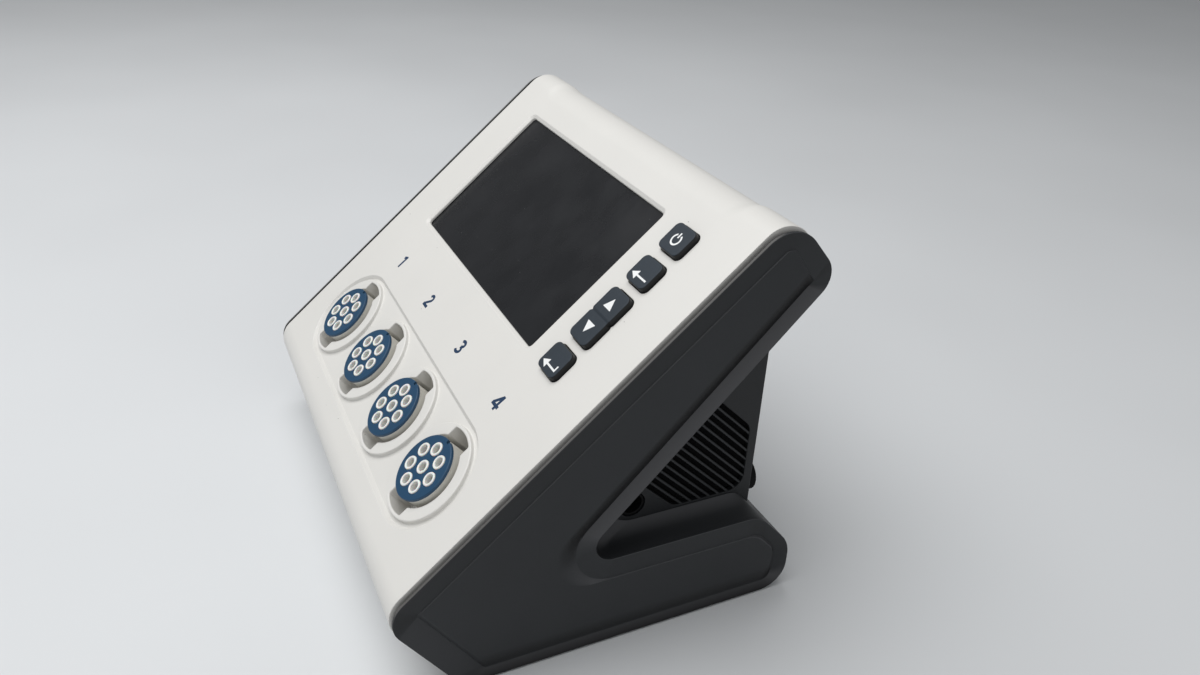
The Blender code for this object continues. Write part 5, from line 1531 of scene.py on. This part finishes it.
def make_keys(finish):
    """Each key has a flat top with a rounded edge, and a flange or tab behind the cover."""
    low = KEY_SEAT - KEY_FLANGE / 2
    high = KEY_SEAT + KEY_FLANGE / 2
    edge = [(0.0, low, 0.0), (0.0, KEY_PROUD, KEY_ROUND), (-KEY_WIDTH / 3, KEY_PROUD, 0.0)]
    profile = softened(edge, KEY_EDGE_STEPS)[:-1]
    for name, body, s, height, waist in KEYS:
        levels = [(point.y, key_outline(height, waist, point.x)) for point in profile]
        place = panel_matrix(KEY_X, s)
        key = new_piece(name, placed(loft(level_rings(levels)), place), finish)
        if waist:
            carve(key, [placed(side_prism(rocker_groove(), -KEY_WIDTH, KEY_WIDTH), place)])
            wide = KEY_WIDTH + 2 * (KEY_CLEARANCE + KEY_FLANGE_WIDTH)
            flange = rounded(rectangle_corners(wide, 2 * ROCKER_TAB_HALF, SMALLEST_RADIUS))
        else:
            flange = key_outline(height, waist, KEY_CLEARANCE + KEY_FLANGE_WIDTH)
        carve(key, [placed(slab(flange, low, high), place)], "UNION")
        hand_over(key, body, "key_rubber", name)


def stroke(points, width):
    """The outline of a line of one width through some points."""
    left, right = [], []
    for index, point in enumerate(points):
        ahead = points[min(index + 1, len(points) - 1)] - point
        behind = point - points[max(index - 1, 0)]
        first = (behind if behind.length else ahead).normalized()
        second = (ahead if ahead.length else behind).normalized()
        along = (first + second).normalized()
        reach = width / 2 / max(along.dot(first), 0.5)
        side = Vector((-along.y, along.x)) * reach
        left.append(point + side)
        right.append(point - side)
    return right + left[::-1]


def arc_points(centre, radius, start_degrees, end_degrees, steps=16):
    sweep = end_degrees - start_degrees
    turns = [math.radians(start_degrees + sweep * step / steps) for step in range(steps + 1)]
    return [Vector(centre) + radius * Vector((math.cos(turn), math.sin(turn))) for turn in turns]


def stamp(name, outlines, matrix, height, finish):
    """Thin printed marks on a face."""
    prisms = [slab(line, height - PRINT_HEIGHT, height + PRINT_HEIGHT) for line in outlines]
    mark = new_piece(name, placed(prisms[0], matrix), finish)
    if len(prisms) > 1:
        carve(mark, [placed(prism, matrix) for prism in prisms[1:]], "UNION")
    return mark


def arrow_left(drop, hook=0.0):
    """A left arrow below the key's middle, with a hook at its tail where it is wanted."""
    tip = -ARROW_LENGTH / 2
    tail = ARROW_LENGTH / 2
    neck = tip + ARROW_HEAD_LENGTH
    head = [
        Vector((tip, -drop)),
        Vector((neck, -drop - ARROW_HEAD_HEIGHT / 2)),
        Vector((neck, -drop + ARROW_HEAD_HEIGHT / 2)),
    ]
    line = [Vector((neck - MARK_STROKE, -drop)), Vector((tail, -drop))]
    if hook:
        line[1].x -= MARK_STROKE / 2
        line.append(line[1] + Vector((0.0, hook)))
    return [head, stroke(line, MARK_STROKE)]


def triangle(near, far):
    half = TRIANGLE_WIDTH / 2
    points = [Vector((-half, near)), Vector((half, near)), Vector((0.0, far))]
    return points if far > near else points[::-1]


def make_symbols(finish):
    """Power, back, up and down, and enter, printed white on the keys."""
    middle = Vector((0.0, -POWER_DROP))
    gap = POWER_RING_GAP_DEGREES
    ring = arc_points(middle, POWER_RING_RADIUS, 90 + gap, 450 - gap, POWER_RING_STEPS)
    bar = [middle + Vector((0.0, POWER_BAR_LOW)), middle + Vector((0.0, POWER_BAR_HIGH))]
    marks = {
        "power_button": [stroke(ring, MARK_STROKE), stroke(bar, MARK_STROKE)],
        "back_button": arrow_left(BACK_ARROW_DROP),
        "up_down_rocker": [triangle(TRIANGLE_NEAR, TRIANGLE_FAR), triangle(-TRIANGLE_NEAR, -TRIANGLE_FAR)],
        "enter_button": arrow_left(ENTER_ARROW_DROP, ENTER_HOOK_HEIGHT),
    }
    for name, body, s, *_ in KEYS:
        mark = stamp(f"{name}_symbol", marks[name], panel_matrix(KEY_X, s), KEY_PROUD, finish)
        hand_over(mark, body, "white_plastic")


def numerals():
    """The strokes of 1 to 4, in shares of a numeral's size about its own middle."""
    end = NUMBER_HEIGHT / 2
    top = end - NUMBER_STROKE / 2
    low = -top
    reach = NUMBER_HEIGHT * NUMBER_REACH_SHARE
    bowl = (top - low) / 4
    stem = reach * 0.45
    bar = low + NUMBER_HEIGHT * 0.17

    def line(*points):
        return [Vector(point) for point in points]

    one = [
        line((reach * 0.25, -end), (reach * 0.25, end)),
        line((reach * 0.25, top + NUMBER_STROKE * 0.05), (-reach * 0.75, top - NUMBER_STROKE * 0.6)),
    ]
    two = [
        arc_points((0.0, top - bowl), bowl * 1.05, 165, -38)
        + line((-reach * 0.85, low + NUMBER_STROKE * 0.1)),
        line((-reach * 1.15, low), (reach * 1.1, low)),
    ]
    bowls = [
        arc_points((-reach * 0.1, top - bowl * 0.95), bowl * 0.95, 150, -90),
        arc_points((-reach * 0.1, low + bowl * 1.05), bowl * 1.05, 90, -150),
    ]
    three = [[Vector((point.x * BOWL_SPREAD, point.y)) for point in half] for half in bowls]
    four = [
        line((stem, -end), (stem, end)),
        line((stem - NUMBER_STROKE * 0.1, top + NUMBER_STROKE * 0.2), (-reach * 1.1, bar)),
        line((-reach * 1.3, bar), (reach * 1.3, bar)),
    ]
    return one, two, three, four


def make_numbers(finish):
    """The plain numbers 1 to 4 above the outlets, slanted and printed blue."""
    parts = []
    for x, lines in zip(OUTLET_X, numerals()):
        outlines = []
        for line in lines:
            slanted = [Vector((point.x + point.y * NUMBER_SLANT, point.y)) for point in line]
            outlines.append(stroke(slanted, NUMBER_STROKE))
        parts.append(stamp("number", outlines, panel_matrix(x, NUMBER_S), 0.0, finish))
    numbers = joined("outlet_numbers", parts)
    return hand_over(numbers, "casing", "blue_plastic")


# Outlets


def numbered(stem, count):
    return [f"{stem}_{index + 1}" for index in range(count)]


def in_row(name, tree, **values):
    """Grow one kind of the outlets' pieces along their row."""
    return grow(name, tree, panel_matrix(), outlets=OUTLET_COUNT, pitch=OUTLET_PITCH, **values)


def drilled_row(name, **values):
    """Grow pieces along the row, with a hole at the place of each tube."""
    tree = drilled_row_tree(name, standing="tube" in values)
    return in_row(name, tree, holes_on_ring=TUBES_ON_RING, ring_radius=TUBE_RING_RADIUS, **values)


def make_caps(finish):
    """The blue faces of the outlets, each with eight holes and a key notch."""
    low = SLEEVE_TOP + GAP
    rim = [(0.0, low, 0.0), (CAP_RADIUS, low, 0.0), (CAP_RADIUS, CAP_TOP, CAP_ROUND), (0.0, CAP_TOP, 0.0)]
    cap = new_piece("cap", turned(softened(rim)), finish)
    half = KEY_NOTCH_WIDTH / 2
    inner, outer = CAP_RADIUS - KEY_NOTCH_DEPTH, CAP_RADIUS + OVERRUN
    corners = ((-half, inner), (half, inner), (half, outer), (-half, outer))
    notch = rounded([(*corner, SMALLEST_RADIUS) for corner in corners], steps=3, even=True)
    carve(cap, [slab(notch, -OVERRUN, OVERRUN)])
    drill = pattern(rod(TUBE_RADIUS + GAP / 2, -OVERRUN, OVERRUN))
    caps = drilled_row("outlet_caps", shape=cap, drill=drill, finish=finish)
    return hand_over(caps, "casing", "blue_plastic", *numbered("outlet_cap", OUTLET_COUNT))


def make_tubes(finish):
    """The white mouldings behind the caps, each with eight round-lipped tube ends on one plate."""
    low = -SLEEVE_TAIL
    middle = low + TUBE_PLATE / 2
    plate = rod(SLEEVE_BORE - GAP, low, low + TUBE_PLATE)
    wall = [
        (0.0, middle, 0.0),
        (TUBE_RADIUS, middle, 0.0),
        (TUBE_RADIUS, TUBE_TOP, TUBE_ROUND),
        (0.0, TUBE_TOP, 0.0),
    ]
    tube = turned(softened(wall), TUBE_SIDES)
    flare = softened(
        [
            (TUBE_RADIUS * 2, TUBE_TOP, 0.0),
            (TUBE_BORE, TUBE_TOP, TUBE_ROUND),
            (TUBE_BORE, low - OVERRUN, 0.0),
            (0.0, low - OVERRUN, 0.0),
        ]
    )[2:]
    first = flare[0] + (flare[0] - flare[1]).normalized() * TUBE_ROUND
    drill = turned([(0.0, first.y)] + [tuple(point) for point in [first] + flare], TUBE_SIDES)
    shapes = {"shape": pattern(plate), "tube": pattern(tube), "drill": pattern(drill)}
    tubes = drilled_row("outlet_tubes", finish=finish, **shapes)
    return hand_over(tubes, "casing", "white_plastic", *numbered("outlet_tubes", OUTLET_COUNT))


def make_sleeves(finish):
    """The grey cylinders under the caps, with a flange behind the well's floor."""
    flange_top = -WELL_DEPTH - WELL_FLOOR - GAP
    profile = softened(
        [
            (SLEEVE_BORE, -SLEEVE_TAIL, 0.0),
            (SLEEVE_FLANGE_RADIUS, -SLEEVE_TAIL, 0.0),
            (SLEEVE_FLANGE_RADIUS, flange_top, SLEEVE_ROUND),
            (SLEEVE_RADIUS, flange_top, 0.0),
            (SLEEVE_RADIUS, SLEEVE_TOP, SLEEVE_ROUND),
            (SLEEVE_BORE, SLEEVE_TOP, 0.0),
        ]
    )
    sleeves = in_row("outlet_sleeves", outlet_row_tree(), shape=pattern(turned(profile)), finish=finish)
    return hand_over(sleeves, "casing", "grey_plastic", *numbered("outlet_sleeve", OUTLET_COUNT))


# Small pieces


def make_service_port(finish):
    radius = PORT_RADIUS - GAP
    bore = radius - PORT_WALL
    face = -PORT_SUNK
    back = face - PORT_LENGTH
    profile = softened(
        [
            (0.0, back, 0.0),
            (radius, back, 0.0),
            (radius, face, PORT_ROUND),
            (bore, face, PORT_ROUND),
            (bore, back + PORT_WALL, PORT_ROUND),
            (0.0, back + PORT_WALL, 0.0),
        ]
    )
    mesh = placed(turned(profile), along_x(MIDDLE_HALF_WIDTH, PORT_Y, PORT_Z))
    return hand_over(new_piece("service_port", mesh, finish), "casing", "black_plastic", "service_port")


def make_power_inlet(finish):
    """A round socket boss with a neck through the rear wall and a centre pin."""
    back = -WALL - INLET_TAIL
    floor = back + INLET_FLOOR
    pin_top = INLET_PROUD - INLET_PIN_SHORT
    profile = softened(
        [
            (0.0, back, 0.0),
            (INLET_NECK_RADIUS, back, 0.0),
            (INLET_NECK_RADIUS, GAP, 0.0),
            (INLET_RADIUS, GAP, 0.0),
            (INLET_RADIUS, INLET_PROUD, INLET_ROUND),
            (INLET_BORE, INLET_PROUD, PORT_ROUND),
            (INLET_BORE, floor, 0.0),
            (INLET_PIN_RADIUS, floor, 0.0),
            (INLET_PIN_RADIUS, pin_top, PORT_ROUND),
            (0.0, pin_top, 0.0),
        ]
    )
    mesh = placed(turned(profile), along_y(INLET_X, REAR_WALL_Y, INLET_Z))
    return hand_over(new_piece("power_inlet", mesh, finish), "casing", "black_plastic", "power_inlet")


def at_corners(name, shape, half_width, finish):
    """Grow a shape at each corner of the base."""
    values = {"shape": shape, "half_width": half_width, "front": FRONT_FOOT_Y, "rear": REAR_FOOT_Y}
    return grow(name, four_corners_tree(), Matrix.Identity(4), finish=finish, **values)


def make_feet(finish):
    side = [(FOOT_RADIUS, 0.0, FOOT_ROUND), (FOOT_RADIUS, FOOT_HEIGHT, 0.0)]
    profile = softened([(0.0, 0.0, 0.0)] + side + [(0.0, FOOT_HEIGHT, 0.0)])
    feet = at_corners("feet", pattern(turned(profile, TUBE_SIDES)), FOOT_X, finish)
    return hand_over(feet, "casing", "foot_rubber", *numbered("foot", CORNER_COUNT))


def make_screws(finish):
    """Cross-recessed screws that hold the base."""
    low = SHELL_BOTTOM_Z + SCREW_HEAD_SUNK
    head_top = low + SCREW_HEAD_HEIGHT
    tip = head_top + SCREW_LENGTH
    profile = softened(
        [
            (0.0, low, 0.0),
            (SCREW_HEAD_RADIUS, low, SCREW_HEAD_ROUND),
            (SCREW_HEAD_RADIUS, head_top, 0.0),
            (SCREW_RADIUS, head_top, 0.0),
            (SCREW_RADIUS, tip, SCREW_HEAD_ROUND),
            (0.0, tip, 0.0),
        ]
    )
    screw = new_piece("screw", turned(profile, TUBE_SIDES), finish)
    half, reach = SCREW_CROSS_HALF, SCREW_CROSS_REACH
    for wide, tall in ((reach, half), (half, reach)):
        arm = rounded(rectangle_corners(2 * wide, 2 * tall, half / 2), steps=2)
        carve(screw, [slab(arm, low - OVERRUN, low + SCREW_CROSS_DEPTH)])
    screws = at_corners("base_screws", screw, SCREW_X, finish)
    return hand_over(screws, "casing", "steel", *numbered("base_screw", CORNER_COUNT))


# Works behind the casing


def paint_works():
    """Finish the pieces that keep their solids."""
    steel = brushed_metal("bracket_steel", (0.52, 0.52, 0.53), 0.34)
    finishes = (
        (steel, ("display_module", "display_frame", "compressor_motor", "power_supply")),
        (board_green(), ("keypad_board", "main_board")),
        (moulded("manifold_grey")[0], ("valve_manifold",)),
        (hose_milk(), ("supply_hose", *numbered("outlet_hose", OUTLET_COUNT))),
        (brushed_metal("cast_alloy", (0.46, 0.46, 0.47), 0.52), ("compressor",)),
        (moulded("fan_black")[0], ("fan_frame", "fan_rotor")),
        (filter_foam(), ("filter_right", "filter_left")),
    )
    for finish, names in finishes:
        for name in names:
            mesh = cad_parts[name].data
            mesh.materials.clear()
            mesh.materials.append(finish)


# Stage, light and camera


def make_stage():
    """A pale table that reaches past every view."""
    mesh = bpy.data.meshes.new("floor")
    mesh.from_pydata([(x * FLOOR_REACH, y * FLOOR_REACH, 0.0) for x, y in SQUARE], [], [(0, 1, 2, 3)])
    new_piece("floor", mesh, floor_pale())


def make_world():
    world = bpy.data.worlds.new("soft_room")
    bpy.context.scene.world = world
    world.use_nodes = True
    background = world.node_tree.nodes["Background"]
    background.inputs["Color"].default_value = (*WORLD_COLOUR, 1.0)
    background.inputs["Strength"].default_value = WORLD_STRENGTH


def make_lamps():
    """Square soft lamps, each turned towards its aim."""
    for name, place, aim, size, power in LAMPS:
        lamp = bpy.data.lights.new(name, "AREA")
        lamp.shape = "SQUARE"
        lamp.size = size
        lamp.energy = power
        item = bpy.data.objects.new(name, lamp)
        bpy.context.scene.collection.objects.link(item)
        item.location = place
        item.rotation_euler = (Vector(aim) - Vector(place)).to_track_quat("-Z", "Y").to_euler()


def make_camera():
    data = bpy.data.cameras.new("camera")
    data.lens = CAMERA_LENS
    data.sensor_width = SENSOR_WIDTH
    data.clip_start = 0.01
    camera = bpy.data.objects.new("camera", data)
    bpy.context.scene.collection.objects.link(camera)
    camera.location = CAMERA_PLACE
    camera.rotation_euler = [math.radians(turn) for turn in CAMERA_TURN_DEGREES]
    bpy.context.scene.camera = camera


def main():
    bpy.context.scene.view_settings.view_transform = "Standard"
    make_camera()
    dark = cheek_grey()
    middle = housing_grey()
    make_cheek("right_cheek", 1, dark)
    make_cheek("left_cheek", -1, dark)
    make_front_cover(cover_white())
    make_rear_housing(middle)
    make_slats(slat_grey())
    make_base_tray(middle)
    make_window(window_dark())
    make_keys(key_slate())
    make_symbols(key_print())
    make_numbers(number_print())
    make_caps(outlet_blue())
    make_sleeves(sleeve_grey())
    make_tubes(tube_white())
    black = socket_black()
    make_service_port(black)
    make_power_inlet(black)
    make_feet(foot_rubber())
    make_screws(brushed_metal("screw_steel", (0.55, 0.55, 0.56), 0.3))
    paint_works()
    make_stage()
    make_world()
    make_lamps()


main()
